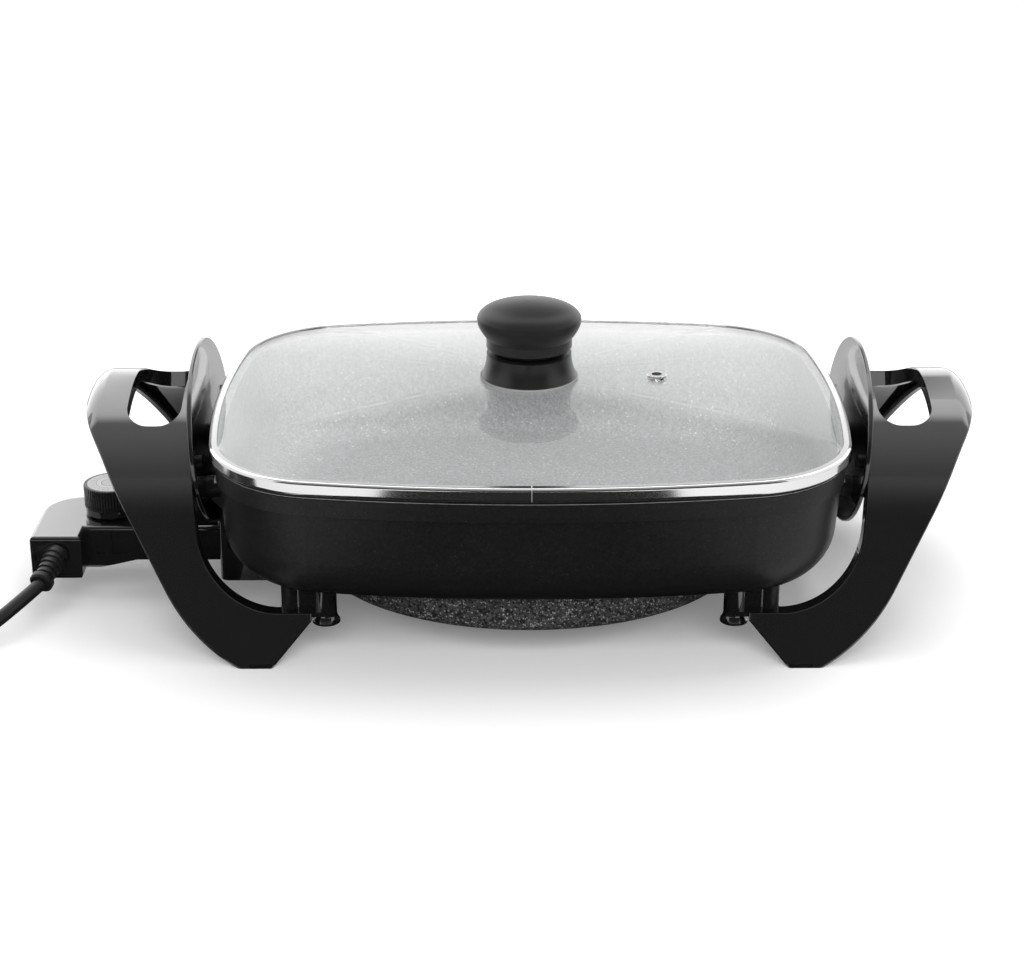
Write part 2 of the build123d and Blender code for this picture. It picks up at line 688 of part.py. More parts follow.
# ---------------------------------------------------------------- heat guards and their fasteners
with BuildPart() as heat_guard_right:
    with BuildSketch(guard_plane(0)):
        Ellipse(GUARD_WIDTH / 2, GUARD_HEIGHT / 2)
        with Locations(*lug_points, *guard_screw_places):
            Circle(SCREW_DIAMETER / 2 + SCREW_GAP, mode=Mode.SUBTRACT)
    extrude(amount=-GUARD_THICKNESS)
    rims = heat_guard_right.edges().filter_by(GeomType.ELLIPSE)
    fillet(rims, GUARD_THICKNESS * 0.3)
save(heat_guard_right, "heat_guard_right")

with BuildPart() as heat_guard_left:
    mirror(heat_guard_right.part, about=across(0))
save(heat_guard_left, "heat_guard_left")

with BuildPart() as right_guard_bolts:
    with BuildSketch(guard_plane(0)):
        with Locations(*lug_points):
            RegularPolygon(SCREW_HEAD_DIAMETER / 2, 6)
    extrude(amount=SCREW_HEAD)
    with BuildSketch(guard_plane(0)):
        with Locations(*lug_points):
            Circle(SCREW_DIAMETER / 2)
    extrude(amount=-GUARD_THICKNESS - LUG_LENGTH * 0.6)

with BuildPart() as guard_bolts:
    add(right_guard_bolts.part)
    mirror(right_guard_bolts.part, about=across(0))
save(guard_bolts, "guard_bolts")

with BuildPart() as right_guard_screws:
    with BuildSketch(guard_plane(-GUARD_THICKNESS)):
        with Locations(*guard_screw_places):
            Circle(SCREW_HEAD_DIAMETER / 2)
    extrude(amount=-SCREW_HEAD * 0.8)
    with BuildSketch(guard_plane(-GUARD_THICKNESS)):
        with Locations(*guard_screw_places):
            Circle(SCREW_DIAMETER / 2)
    extrude(amount=GUARD_THICKNESS + 9)

with BuildPart() as guard_screws:
    add(right_guard_screws.part)
    mirror(right_guard_screws.part, about=across(0))
save(guard_screws, "guard_screws")

# ---------------------------------------------------------------- terminal shroud
guard_base_z = GUARD_CENTRE_Z - GUARD_HEIGHT / 2 * math.cos(lean)
shroud_end = guard_face_x(guard_base_z) - GUARD_THICKNESS / math.cos(lean) - FIT_GAP
shroud_start = HEATER_HALF_LENGTH * 0.9

with BuildPart() as pan_envelope:
    with BuildSketch(level(PAN_BASE_Z - FIT_GAP)):
        add(oval(pan_base_inset - FIT_GAP))
    extrude(amount=PAN_RIM_Z - PAN_BASE_Z, taper=-PAN_DRAFT)
    fillet(pan_envelope.edges().group_by(Axis.Z)[0], PAN_BASE_RADIUS)

with BuildPart() as terminal_shroud:
    with BuildSketch(level(SHROUD_BASE_Z)):
        with Locations((-(shroud_start + shroud_end) / 2, 0)):
            Rectangle(shroud_end - shroud_start, 2 * SHROUD_HALF_WIDTH)
    extrude(amount=SHROUD_TOP_Z - SHROUD_BASE_Z)
    fillet(terminal_shroud.edges().filter_by(Axis.Z).group_by(Axis.X)[0], 2 * SHROUD_WALL)
    with BuildSketch(level(SHROUD_BASE_Z)):
        with Locations((-(shroud_start + shroud_end) / 2 + SHROUD_WALL, 0)):
            Rectangle(shroud_end - shroud_start, 2 * SHROUD_HALF_WIDTH - 2 * SHROUD_WALL)
    extrude(amount=SHROUD_TOP_Z, mode=Mode.SUBTRACT)
    add(pan_envelope.part, mode=Mode.SUBTRACT)
    with BuildSketch(level(SHROUD_BASE_Z - 1)):
        Ellipse(HEATER_HALF_LENGTH + FIT_GAP, HEATER_HALF_WIDTH + FIT_GAP)
    extrude(amount=PAN_RIM_Z, mode=Mode.SUBTRACT)
    # way in for the probe
    with BuildSketch(across(-shroud_end - SHROUD_WALL)):
        with Locations((0, 0)):
            Rectangle(2 * PROBE_HALF_WIDTH + 3, 2 * PROBE_TOP_Z + 3)
    extrude(amount=4 * SHROUD_WALL, mode=Mode.SUBTRACT)
save(terminal_shroud, "terminal_shroud")

# ---------------------------------------------------------------- lid
def dome(base_z, inset):
    """Solid cap over the shared outline, as high as the lid's dome, flat only under the knob."""
    shares = [1.0, 0.93, 0.82, 0.66, 0.46, 0.28, 0.13]
    with BuildPart() as cap:
        for share in shares:
            with BuildSketch(level(base_z + DOME_RISE * (1 - share**DOME_POWER))):
                add(oval(inset))
                scale(by=share)
        loft()
        with BuildSketch(level(base_z + DOME_RISE * (1 - shares[-1] ** DOME_POWER) - 0.5)):
            Circle(NECK_DIAMETER / 2)
        extrude(amount=0.5 + DOME_RISE * shares[-1] ** DOME_POWER)
    return cap.part


with BuildPart() as lid_glass:
    with BuildSketch(level(glass_edge_z)):
        add(oval(glass_inset))
    extrude(amount=GLASS)
    fillet(lid_glass.edges().group_by(Axis.Z)[-1], BAND_ROLL - BAND_SHEET)
    add(dome(glass_top_z, BAND_LIP + FIT_GAP))
    add(dome(glass_edge_z, BAND_LIP + FIT_GAP + GLASS / 2), mode=Mode.SUBTRACT)
    with BuildSketch(level(BAND_BASE_Z)):
        Circle(KNOB_SCREW_DIAMETER / 2 + FIT_GAP)
        with Locations((VENT_X, VENT_Y)):
            Circle(VENT_BARREL / 2 + FIT_GAP)
    extrude(amount=crown_z - BAND_BASE_Z + 1, mode=Mode.SUBTRACT)
save(lid_glass, "lid_glass")

with BuildPart() as lid_rim:
    with BuildSketch(level(BAND_BASE_Z)):
        add(oval(0))
    extrude(amount=BAND_HEIGHT)
    fillet(lid_rim.edges(), BAND_ROLL)
    with BuildPart(mode=Mode.PRIVATE) as band_hollow:
        with BuildSketch(level(BAND_BASE_Z + BAND_SHEET)):
            add(oval(BAND_SHEET))
        extrude(amount=BAND_HEIGHT - 2 * BAND_SHEET)
        fillet(band_hollow.edges(), BAND_ROLL - BAND_SHEET)
    add(band_hollow.part, mode=Mode.SUBTRACT)
    with BuildSketch(level(BAND_BASE_Z - 1)):
        add(oval(BAND_LIP))
    extrude(amount=BAND_HEIGHT + 2, mode=Mode.SUBTRACT)
save(lid_rim, "lid_rim")

vent_share = math.hypot(
    VENT_X / (LID_HALF_WIDTH - BAND_LIP - FIT_GAP),
    VENT_Y / (LID_HALF_DEPTH - BAND_LIP - FIT_GAP),
)
vent_top_z = glass_top_z + DOME_RISE * (1 - vent_share**DOME_POWER)
with BuildPart() as vent_eyelet:
    with BuildSketch(level(vent_top_z - GLASS - 1.0)):
        with Locations((VENT_X, VENT_Y)):
            Circle(VENT_BARREL / 2)
    extrude(amount=GLASS + 2.4)
    with BuildSketch(level(vent_top_z + 0.4)):
        with Locations((VENT_X, VENT_Y)):
            Circle(VENT_FLANGE / 2)
    extrude(amount=1.2)
    fillet(vent_eyelet.edges().group_by(Axis.Z)[-1], 0.5)
    with BuildSketch(level(vent_top_z - GLASS - 1.4)):
        with Locations((VENT_X, VENT_Y)):
            Circle(VENT_FLANGE / 2 - 0.8)
    extrude(amount=0.8)
    with BuildSketch(level(BAND_BASE_Z)):
        with Locations((VENT_X, VENT_Y)):
            Circle(VENT_HOLE / 2)
    extrude(amount=crown_z - BAND_BASE_Z + 4, mode=Mode.SUBTRACT)
save(vent_eyelet, "vent_eyelet")

knob_axis = Axis((PAN_X, 0, 0), (0, 0, 1))
screw_hole = KNOB_SCREW_DIAMETER / 2 + SCREW_GAP
screw_seat_z = crown_z - GLASS - SEAL_THICKNESS - WASHER_THICKNESS
screw_tip_z = screw_seat_z + KNOB_SCREW_LENGTH

with BuildPart() as knob_seal:
    with BuildSketch(level(crown_z)):
        Circle(SEAL_DIAMETER / 2)
        Circle(screw_hole, mode=Mode.SUBTRACT)
    extrude(amount=SEAL_THICKNESS)
save(knob_seal, "knob_seal")

with BuildPart() as knob_inner_seal:
    with BuildSketch(level(crown_z - GLASS)):
        Circle(WASHER_DIAMETER / 2)
        Circle(screw_hole, mode=Mode.SUBTRACT)
    extrude(amount=-SEAL_THICKNESS)
save(knob_inner_seal, "knob_inner_seal")

with BuildPart() as knob_washer:
    with BuildSketch(level(screw_seat_z)):
        Circle(WASHER_DIAMETER / 2)
        Circle(screw_hole, mode=Mode.SUBTRACT)
    extrude(amount=WASHER_THICKNESS)
save(knob_washer, "knob_washer")

with BuildPart() as knob_screw:
    with BuildSketch(level(screw_seat_z)):
        Circle(KNOB_HEAD_DIAMETER / 2)
    extrude(amount=-KNOB_HEAD)
    fillet(knob_screw.edges().group_by(Axis.Z)[0], KNOB_HEAD * 0.5)
    with BuildSketch(level(screw_seat_z)):
        Circle(KNOB_SCREW_DIAMETER / 2)
    extrude(amount=KNOB_SCREW_LENGTH)
save(knob_screw, "knob_screw")

with BuildPart() as knob_collar:
    with BuildSketch(along(0)):
        with BuildLine():
            base = (COLLAR_BASE_DIAMETER / 2, seal_top_z)
            brim = (COLLAR_TOP_DIAMETER / 2, collar_top_z)
            ThreePointArc(
                base,
                ((base[0] + brim[0]) / 2 - 0.7, (base[1] + brim[1]) / 2 - 0.4),
                brim,
            )
            Polyline(
                brim,
                (screw_hole, collar_top_z),
                (screw_hole, collar_top_z - KNOB_WALL),
                (brim[0] - KNOB_WALL, collar_top_z - KNOB_WALL),
                (base[0] - KNOB_WALL, seal_top_z),
                base,
            )
        make_face()
    revolve(axis=knob_axis)
    with BuildSketch(level(seal_top_z)):
        Circle(screw_hole + KNOB_WALL)
        Circle(screw_hole, mode=Mode.SUBTRACT)
    extrude(amount=COLLAR_HEIGHT - KNOB_WALL / 2)
save(knob_collar, "knob_collar")

with BuildPart() as knob:
    with BuildSketch(along(0)):
        ring_r = KNOB_RING_DIAMETER / 2
        edge_r = KNOB_DIAMETER / 2
        ring_top_z = knob_base_z + KNOB_RING_HEIGHT
        with BuildLine():
            Polyline(
                (0, knob_top_z),
                (0, collar_top_z),
                (NECK_DIAMETER / 2, collar_top_z),
                (NECK_DIAMETER / 2, knob_base_z),
                (ring_r - KNOB_RING_CHAMFER, knob_base_z),
                (ring_r, knob_base_z + KNOB_RING_CHAMFER),
                (ring_r, ring_top_z),
                (edge_r - KNOB_FLARE_IN, ring_top_z + KNOB_FLARE_BEND),
                (edge_r, knob_edge_z),
            )
            Spline(
                (edge_r, knob_edge_z),
                (edge_r - 1.9, knob_edge_z + KNOB_CROWN * 0.36),
                (edge_r * 0.79, knob_edge_z + KNOB_CROWN * 0.68),
                (edge_r * 0.48, knob_edge_z + KNOB_CROWN * 0.92),
                (0, knob_top_z),
                tangents=((-0.3, 1), (-1, 0)),
            )
        make_face()
    revolve(axis=knob_axis)
    with BuildSketch(level(collar_top_z)):
        Circle(screw_hole)
    extrude(amount=screw_tip_z - collar_top_z + 1, mode=Mode.SUBTRACT)
save(knob, "knob")

# ---------------------------------------------------------------- control probe
contact_radius = PIN_DIAMETER / 2 + FIT_GAP
contact_start = -probe_face - PROBE_WALL
contact_end = -HEATER_HALF_LENGTH - PIN_LENGTH - 6


def nose_cut(drop):
    """Side view of all that lies over the probe's top, which slopes down to the nose under the pan."""
    with BuildSketch() as over:
        with BuildLine():
            Polyline(
                (nose_x - PROBE_SLOPE, PROBE_TOP_Z - drop),
                (nose_x, PROBE_NOSE_Z - drop),
                (0, PROBE_NOSE_Z - drop),
                (0, 2 * PROBE_TOP_Z),
                (nose_x - PROBE_SLOPE, 2 * PROBE_TOP_Z),
                close=True,
            )
        make_face()
    return over.sketch


def probe_plan(inset):
    """Outline of the L-shaped housing seen from above; x is from the pan's centre."""
    with BuildSketch() as plan:
        with BuildLine():
            Polyline(
                (-probe_face, PROBE_HALF_WIDTH),
                (-probe_end, PROBE_HALF_WIDTH),
                (-probe_end, -ARM_END_Y),
                (ARM_WIDTH - probe_end, -ARM_END_Y),
                (ARM_WIDTH - probe_end, -PROBE_HALF_WIDTH),
                (-probe_face, -PROBE_HALF_WIDTH),
                close=True,
            )
        make_face()
        corners = plan.vertices()
        fillet(corners.sort_by_distance((-probe_end, PROBE_HALF_WIDTH, 0))[0], ARM_CORNER)
        fillet(corners.sort_by_distance((ARM_WIDTH - probe_end, -PROBE_HALF_WIDTH, 0))[0], ARM_CROOK)
        fillet(corners.group_by(Axis.Y)[0], ARM_END_RADIUS)
        if inset:
            offset(amount=-inset, kind=Kind.INTERSECTION)
    return plan.sketch


inner_screw_x = min(nose_x - PROBE_SLOPE, contact_end) - SCREW_DIAMETER - 1.0
inner_screw_y = PROBE_HALF_WIDTH - PROBE_WALL - SCREW_DIAMETER - 1.0
screw_places = [(arm_x, -ARM_END_Y + 14.0), (inner_screw_x, inner_screw_y), (inner_screw_x, -inner_screw_y)]

with BuildPart() as probe_case:
    with BuildSketch(level(PROBE_BASE_Z)):
        add(probe_plan(0))
    extrude(amount=PROBE_TOP_Z - PROBE_BASE_Z)
    fillet(probe_case.edges().group_by(Axis.Z)[-1], PROBE_TOP_EDGE)
    fillet(probe_case.edges().group_by(Axis.Z)[0], PROBE_LOW_EDGE)
    # the body's underside is arched up from the arm
    with BuildSketch(along(0)):
        with BuildLine():
            arch_foot = (ARM_WIDTH - probe_end + 1, PROBE_BASE_Z - 1)
            arch_top = (ARM_WIDTH - probe_end + PROBE_ARCH_RUN, PROBE_ARCH_Z)
            ThreePointArc(arch_foot, (arch_foot[0] + 9, PROBE_BASE_Z + 1.6), arch_top)
            Polyline(arch_top, (0, PROBE_ARCH_Z), (0, PROBE_BASE_Z - 1), arch_foot)
        make_face()
    extrude(amount=2 * PROBE_HALF_WIDTH, both=True, mode=Mode.SUBTRACT)
    # the top slopes down to the nose
    with BuildSketch(along(0)):
        add(nose_cut(0))
    extrude(amount=2 * PROBE_HALF_WIDTH, both=True, mode=Mode.SUBTRACT)
    # shallow panel in the arm's end, round the cord
    with BuildSketch(along(-ARM_END_Y)):
        with Locations((arm_x, (PROBE_BASE_Z + PROBE_TOP_Z) / 2)):
            RectangleRounded(
                ARM_WIDTH - 2 * PROBE_WALL,
                PROBE_TOP_Z - PROBE_BASE_Z - 2 * PROBE_WALL,
                PROBE_LOW_EDGE - PROBE_WALL / 2,
            )
    extrude(amount=-PROBE_WALL / 3, mode=Mode.SUBTRACT)
    # two shallow upright recesses in the front wall, below the dial
    with BuildSketch(level(PROBE_ARCH_Z + 3.5)):
        recess_y = -PROBE_HALF_WIDTH + PROBE_RECESS - 2
        with Locations((dial_x - 4.4, recess_y), (dial_x + 5.0, recess_y)):
            Rectangle(5.0, 4.0)
    extrude(amount=PROBE_TOP_Z - PROBE_ARCH_Z - 6.0, mode=Mode.SUBTRACT)
    # ways in for the pins and the sensor
    with BuildSketch(across(-probe_face + 1)):
        with Locations(*pin_places):
            Circle(contact_radius)
        with Locations((0, ELEMENT_Z)):
            Circle(SENSOR_DIAMETER / 2 + SCREW_GAP)
    extrude(amount=-PROBE_WALL - 2, mode=Mode.SUBTRACT)

with BuildPart() as probe_base:
    add(probe_case.part)
    split(bisect_by=level(PROBE_SPLIT_Z), keep=Keep.BOTTOM)
    with BuildSketch(level(PROBE_ARCH_Z + PROBE_WALL)):
        add(probe_plan(PROBE_WALL))
    extrude(amount=PROBE_TOP_Z, mode=Mode.SUBTRACT)
    # posts for the case screws
    with BuildSketch(level(PROBE_ARCH_Z + PROBE_WALL / 2)):
        with Locations(*screw_places):
            Circle(SCREW_DIAMETER)
    extrude(amount=PROBE_SPLIT_Z - PROBE_ARCH_Z - PROBE_WALL / 2)
    with BuildSketch(level(0)):
        with Locations(*screw_places):
            Circle(SCREW_DIAMETER / 2 + SCREW_GAP)
    extrude(amount=PROBE_SPLIT_Z, mode=Mode.SUBTRACT)
    with BuildSketch(level(0)):
        with Locations(*screw_places):
            Circle(SCREW_DIAMETER * 0.8)
    extrude(amount=PROBE_ARCH_Z + SCREW_HEAD, mode=Mode.SUBTRACT)
save(probe_base, "probe_base")

with BuildPart() as probe_cover:
    add(probe_case.part)
    split(bisect_by=level(PROBE_SPLIT_Z), keep=Keep.TOP)
    with BuildPart(mode=Mode.PRIVATE) as cover_hollow:
        with BuildSketch(level(PROBE_SPLIT_Z)):
            add(probe_plan(PROBE_WALL))
        extrude(amount=PROBE_TOP_Z - PROBE_SPLIT_Z - PROBE_WALL)
        with BuildSketch(along(0)):
            add(nose_cut(PROBE_WALL))
        extrude(amount=2 * PROBE_HALF_WIDTH, both=True, mode=Mode.SUBTRACT)
    add(cover_hollow.part, mode=Mode.SUBTRACT)
    with BuildSketch(level(PROBE_SPLIT_Z)):
        with Locations(*screw_places):
            Circle(SCREW_DIAMETER)
    extrude(amount=PROBE_TOP_Z - PROBE_SPLIT_Z - PROBE_WALL / 2)
    with BuildSketch(level(PROBE_SPLIT_Z)):
        with Locations(*screw_places):
            Circle(SCREW_DIAMETER / 2 + SCREW_GAP)
    extrude(amount=PROBE_TOP_Z - PROBE_SPLIT_Z - PROBE_WALL, mode=Mode.SUBTRACT)
    with BuildSketch(level(PROBE_SPLIT_Z)):
        with Locations((dial_x, 0)):
            Circle(SHAFT_DIAMETER / 2 + FIT_GAP)
    extrude(amount=PROBE_TOP_Z, mode=Mode.SUBTRACT)
save(probe_cover, "probe_cover")

with BuildPart() as probe_screws:
    with BuildSketch(level(PROBE_ARCH_Z + SCREW_HEAD)):
        with Locations(*screw_places):
            Circle(SCREW_DIAMETER * 0.8 - SCREW_GAP)
    extrude(amount=-SCREW_HEAD * 0.8)
    with BuildSketch(level(PROBE_ARCH_Z + SCREW_HEAD)):
        with Locations(*screw_places):
            Circle(SCREW_DIAMETER / 2)
    extrude(amount=PROBE_TOP_Z - PROBE_WALL - PROBE_ARCH_Z - SCREW_HEAD)
save(probe_screws, "probe_screws")

with BuildPart() as dial_collar:
    with BuildSketch(level(PROBE_TOP_Z)):
        with Locations((dial_x, 0)):
            Circle(DIAL_COLLAR_DIAMETER / 2)
    extrude(amount=DIAL_BASE_Z - FIT_GAP - PROBE_TOP_Z)
    chamfer(dial_collar.edges().group_by(Axis.Z)[0], 1.4, 2.4)
    with BuildSketch(level(PROBE_TOP_Z)):
        with Locations((dial_x, 0)):
            Circle(SHAFT_DIAMETER / 2 + FIT_GAP)
    extrude(amount=DIAL_BASE_Z, mode=Mode.SUBTRACT)
save(dial_collar, "dial_collar")

switch_top_z = ELEMENT_Z + SENSOR_DIAMETER / 2 + 1.0
switch_end_x = dial_x + DIAL_DIAMETER
with BuildPart() as thermostat_switch:
    with BuildSketch(level(PROBE_ARCH_Z + PROBE_WALL)):
        with Locations((dial_x + DIAL_DIAMETER / 3, 0)):
            Rectangle(4 / 3 * DIAL_DIAMETER, 0.8 * DIAL_DIAMETER)
    extrude(amount=switch_top_z - PROBE_ARCH_Z - PROBE_WALL)
    fillet(thermostat_switch.edges().filter_by(Axis.Z), 2.0)
save(thermostat_switch, "thermostat_switch")

with BuildPart() as sensor_stem:
    with BuildSketch(across(switch_end_x)):
        with Locations((0, ELEMENT_Z)):
            Circle(SENSOR_DIAMETER / 2)
    extrude(amount=-switch_end_x - HEATER_HALF_LENGTH + HEATER_WALL + SENSOR_REACH - 6)
    fillet(sensor_stem.edges().group_by(Axis.X)[-1], SENSOR_DIAMETER * 0.3)
save(sensor_stem, "sensor_stem")

with BuildPart() as probe_contacts:
    with BuildSketch(across(contact_start)):
        with Locations(*pin_places):
            Circle(contact_radius + CONTACT_WALL)
    extrude(amount=contact_end - contact_start)
    with BuildSketch(across(contact_start)):
        with Locations(*pin_places):
            Circle(contact_radius)
    extrude(amount=contact_end - contact_start + 3, mode=Mode.SUBTRACT)
save(probe_contacts, "probe_contacts")

# ---------------------------------------------------------------- dial
with BuildPart() as dial_knob:
    with BuildSketch(level(DIAL_BASE_Z)):
        with Locations((dial_x, 0)):
            Circle(DIAL_DIAMETER / 2)
    extrude(amount=DIAL_TOP_Z - DIAL_BASE_Z)
    fillet(dial_knob.edges().group_by(Axis.Z)[-1], 0.8)
    with BuildSketch(level(DIAL_BASE_Z + 1.6)):
        with Locations((dial_x, 0)):
            Circle(DIAL_DIAMETER)
            Circle(DIAL_DIAMETER / 2 - 0.6, mode=Mode.SUBTRACT)
    extrude(amount=0.8, mode=Mode.SUBTRACT)
    with BuildSketch(level(DIAL_TOP_Z - DIAL_FACE)):
        with Locations((dial_x, 0)):
            Circle(DIAL_FACE_DIAMETER / 2 + SCREW_GAP)
    extrude(amount=DIAL_FACE, mode=Mode.SUBTRACT)
    with BuildSketch(level(DIAL_BASE_Z)):
        with Locations((dial_x, 0)):
            Circle(SHAFT_DIAMETER / 2 + SCREW_GAP)
    extrude(amount=(DIAL_TOP_Z - DIAL_BASE_Z) * 0.6, mode=Mode.SUBTRACT)
save(dial_knob, "dial_knob")

with BuildPart() as dial_face:
    with BuildSketch(level(DIAL_TOP_Z - DIAL_FACE)):
        with Locations((dial_x, 0)):
            Circle(DIAL_FACE_DIAMETER / 2)
    extrude(amount=DIAL_FACE)
save(dial_face, "dial_face")

with BuildPart() as dial_shaft:
    with BuildSketch(level(switch_top_z + FIT_GAP)):
        with Locations((dial_x, 0)):
            Circle(SHAFT_DIAMETER / 2)
    extrude(amount=DIAL_BASE_Z + (DIAL_TOP_Z - DIAL_BASE_Z) * 0.6 - switch_top_z - FIT_GAP)
save(dial_shaft, "dial_shaft")

# ---------------------------------------------------------------- cord, its relief and its plug
relief_start = Vector(PAN_X + arm_x, -ARM_END_Y, exit_z)
relief_end = Vector(*LEAD_ROUTE[0])
relief_way = (relief_end - relief_start).normalized()
relief_length = (relief_end - relief_start).length
relief_side = relief_way.cross(Vector(0, 0, 1)).normalized()
relief_plane = Plane(origin=relief_start, x_dir=relief_side, z_dir=relief_side.cross(relief_way))
RELIEF_RIBS = 5

with BuildPart() as strain_relief:
    with BuildSketch(relief_plane):
        with BuildLine():
            cone_length = relief_length - RELIEF_COLLAR_LENGTH
            points = [(0, -2.0), (RELIEF_BASE_DIAMETER / 2, -2.0)]
            for rib in range(RELIEF_RIBS):
                taper = (RELIEF_BASE_DIAMETER - RELIEF_TIP_DIAMETER) / 2 * rib / RELIEF_RIBS
                radius = RELIEF_BASE_DIAMETER / 2 - taper
                start = cone_length * rib / RELIEF_RIBS
                pitch = cone_length / RELIEF_RIBS
                points += [
                    (radius, start + 0.1 * pitch),
                    (radius, start + 0.6 * pitch),
                    (radius - 1.0, start + 0.7 * pitch),
                    (radius - 1.0, start + pitch),
                ]
            collar_radius = RELIEF_COLLAR_DIAMETER / 2
            points += [
                (collar_radius - 1.0, cone_length),
                (collar_radius, cone_length + 1.0),
                (collar_radius, relief_length - 1.0),
                (collar_radius - 1.0, relief_length),
                (0, relief_length),
            ]
            Polyline(*points, close=True)
        make_face()
    revolve(axis=Axis(relief_start, relief_way))
    split(bisect_by=along(-ARM_END_Y), keep=Keep.TOP)
save(strain_relief, "strain_relief")


def arc_radii(route):
    """Largest arc that each corner of the route has room for."""
    radii = []
    for before, corner, after in zip(route, route[1:], route[2:]):
        run_in = Vector(*corner) - Vector(*before)
        run_out = Vector(*after) - Vector(*corner)
        turn = math.radians(run_in.get_angle(run_out))
        radii.append(0.45 * min(run_in.length, run_out.length) / math.tan(turn / 2))
    return radii


def cord_tube(route, name):
    """Cord along straight runs joined by tangent arcs, with its radii and volume printed."""
    radii = arc_radii(route)
    with BuildPart() as tube:
        with BuildLine() as path:
            FilletPolyline(*route, radius=radii)
        way = Vector(*route[1]) - Vector(*route[0])
        with BuildSketch(Plane(origin=route[0], z_dir=way)):
            Circle(CORD_DIAMETER / 2)
        sweep(path=path.wires()[0])
    length = path.wires()[0].length
    expected = math.pi * CORD_DIAMETER**2 / 4 * length
    print(name, "arc radii", [round(radius, 1) for radius in radii], "length", round(length, 1))
    print(name, "volume over expected", round(tube.part.volume / expected, 4))
    save(tube, name)


cord_tube(LEAD_ROUTE, "cord_lead")
cord_tube(TAIL_ROUTE, "cord_tail")

with BuildPart() as cord_coil:
    with BuildSketch(Plane(origin=(COIL_X, COIL_Y, 0), x_dir=(1, 0, 0), z_dir=(0, -1, 0))):
        with Locations((COIL_MEAN_RADIUS, CORD_DIAMETER)):
            RectangleRounded(2 * CORD_DIAMETER, 2 * CORD_DIAMETER, CORD_DIAMETER / 2 - 0.2)
    revolve(axis=Axis((COIL_X, COIL_Y, 0), (0, 0, 1)))
save(cord_coil, "cord_coil")

plug_way = Vector(math.cos(math.radians(PLUG_TURN)), math.sin(math.radians(PLUG_TURN)), 0)
plug_entry = Vector(*TAIL_ROUTE[-1])
plug_centre = plug_entry + plug_way * (PLUG_NOSE + PLUG_LENGTH / 2)


def plug_plane(z):
    """Horizontal plane over the middle of the plug: local y runs on from the cord."""
    side = Vector(plug_way.Y, -plug_way.X, 0)
    return Plane(origin=(plug_centre.X, plug_centre.Y, z), x_dir=side, z_dir=(0, 0, 1))


with BuildPart() as plug_body:
    with BuildSketch(plug_plane(0)):
        with BuildLine():
            Polyline(
                (-PLUG_WIDTH / 2, -PLUG_LENGTH * 0.2),
                (-PLUG_WIDTH * 0.3, -PLUG_LENGTH / 2),
                (PLUG_WIDTH * 0.3, -PLUG_LENGTH / 2),
                (PLUG_WIDTH / 2, -PLUG_LENGTH * 0.2),
                (PLUG_WIDTH / 2, PLUG_LENGTH / 2),
                (-PLUG_WIDTH / 2, PLUG_LENGTH / 2),
                close=True,
            )
        make_face()
    extrude(amount=PLUG_THICKNESS)
    fillet(plug_body.edges().filter_by(Axis.Z), 5.0)
    fillet(plug_body.edges().group_by(Axis.Z)[0], 2.5)
    chamfer(plug_body.edges().group_by(Axis.Z)[-1], 1.0)
    with BuildSketch(Plane(origin=plug_entry, x_dir=(0, 0, 1), z_dir=plug_way)):
        Circle(CORD_DIAMETER * 0.72)
    nose_root = plug_entry + plug_way * (PLUG_NOSE + 1)
    with BuildSketch(Plane(origin=nose_root, x_dir=(0, 0, 1), z_dir=plug_way)):
        Circle(CORD_DIAMETER)
    loft()
save(plug_body, "plug_body")

with BuildPart() as plug_pins:
    with BuildSketch(plug_plane(PLUG_THICKNESS)):
        with Locations((0, 11.1)):
            Rectangle(4.0, 8.0)
    extrude(amount=22.7)
    with BuildSketch(plug_plane(PLUG_THICKNESS)):
        with Locations((11.1, -11.1), (-11.1, -11.1)):
            Rectangle(6.35, 4.0)
    extrude(amount=17.7)
save(plug_pins, "plug_pins")
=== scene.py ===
# %% [markdown]
# # An electric skillet, dressed for the studio
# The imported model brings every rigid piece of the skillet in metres, each at its real place.
# This lesson adds the camera, the light, the finishes and the pieces that need finer modelling.
# Read it from top to bottom: each cell does one small job and prints what it made.

# %% Load the frame
import json
import math
import bpy
import bmesh
from mathutils import Matrix, Vector


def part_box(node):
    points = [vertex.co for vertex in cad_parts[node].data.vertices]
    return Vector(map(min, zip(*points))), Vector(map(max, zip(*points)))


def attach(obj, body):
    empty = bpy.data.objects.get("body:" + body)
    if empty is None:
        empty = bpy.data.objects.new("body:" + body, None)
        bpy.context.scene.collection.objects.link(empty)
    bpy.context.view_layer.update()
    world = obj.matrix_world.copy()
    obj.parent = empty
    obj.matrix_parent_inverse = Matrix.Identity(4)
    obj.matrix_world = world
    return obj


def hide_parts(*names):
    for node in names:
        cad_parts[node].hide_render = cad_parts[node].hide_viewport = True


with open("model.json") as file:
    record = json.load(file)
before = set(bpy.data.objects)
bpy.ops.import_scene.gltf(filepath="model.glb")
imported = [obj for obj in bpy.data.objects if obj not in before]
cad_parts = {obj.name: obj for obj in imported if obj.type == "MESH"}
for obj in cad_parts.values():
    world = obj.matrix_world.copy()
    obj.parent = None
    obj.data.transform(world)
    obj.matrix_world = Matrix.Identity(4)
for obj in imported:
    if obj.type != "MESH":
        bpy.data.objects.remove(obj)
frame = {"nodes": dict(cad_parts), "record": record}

scene = bpy.context.scene
nodes = frame["nodes"]
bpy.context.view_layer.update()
pan_low, pan_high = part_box("pan")
PAN_X = 0.01775  # the middle of the pan and the lid, in metres
print("pieces from the frame:", len(nodes), "middle of the pan:", (pan_low[0] + pan_high[0]) / 2)

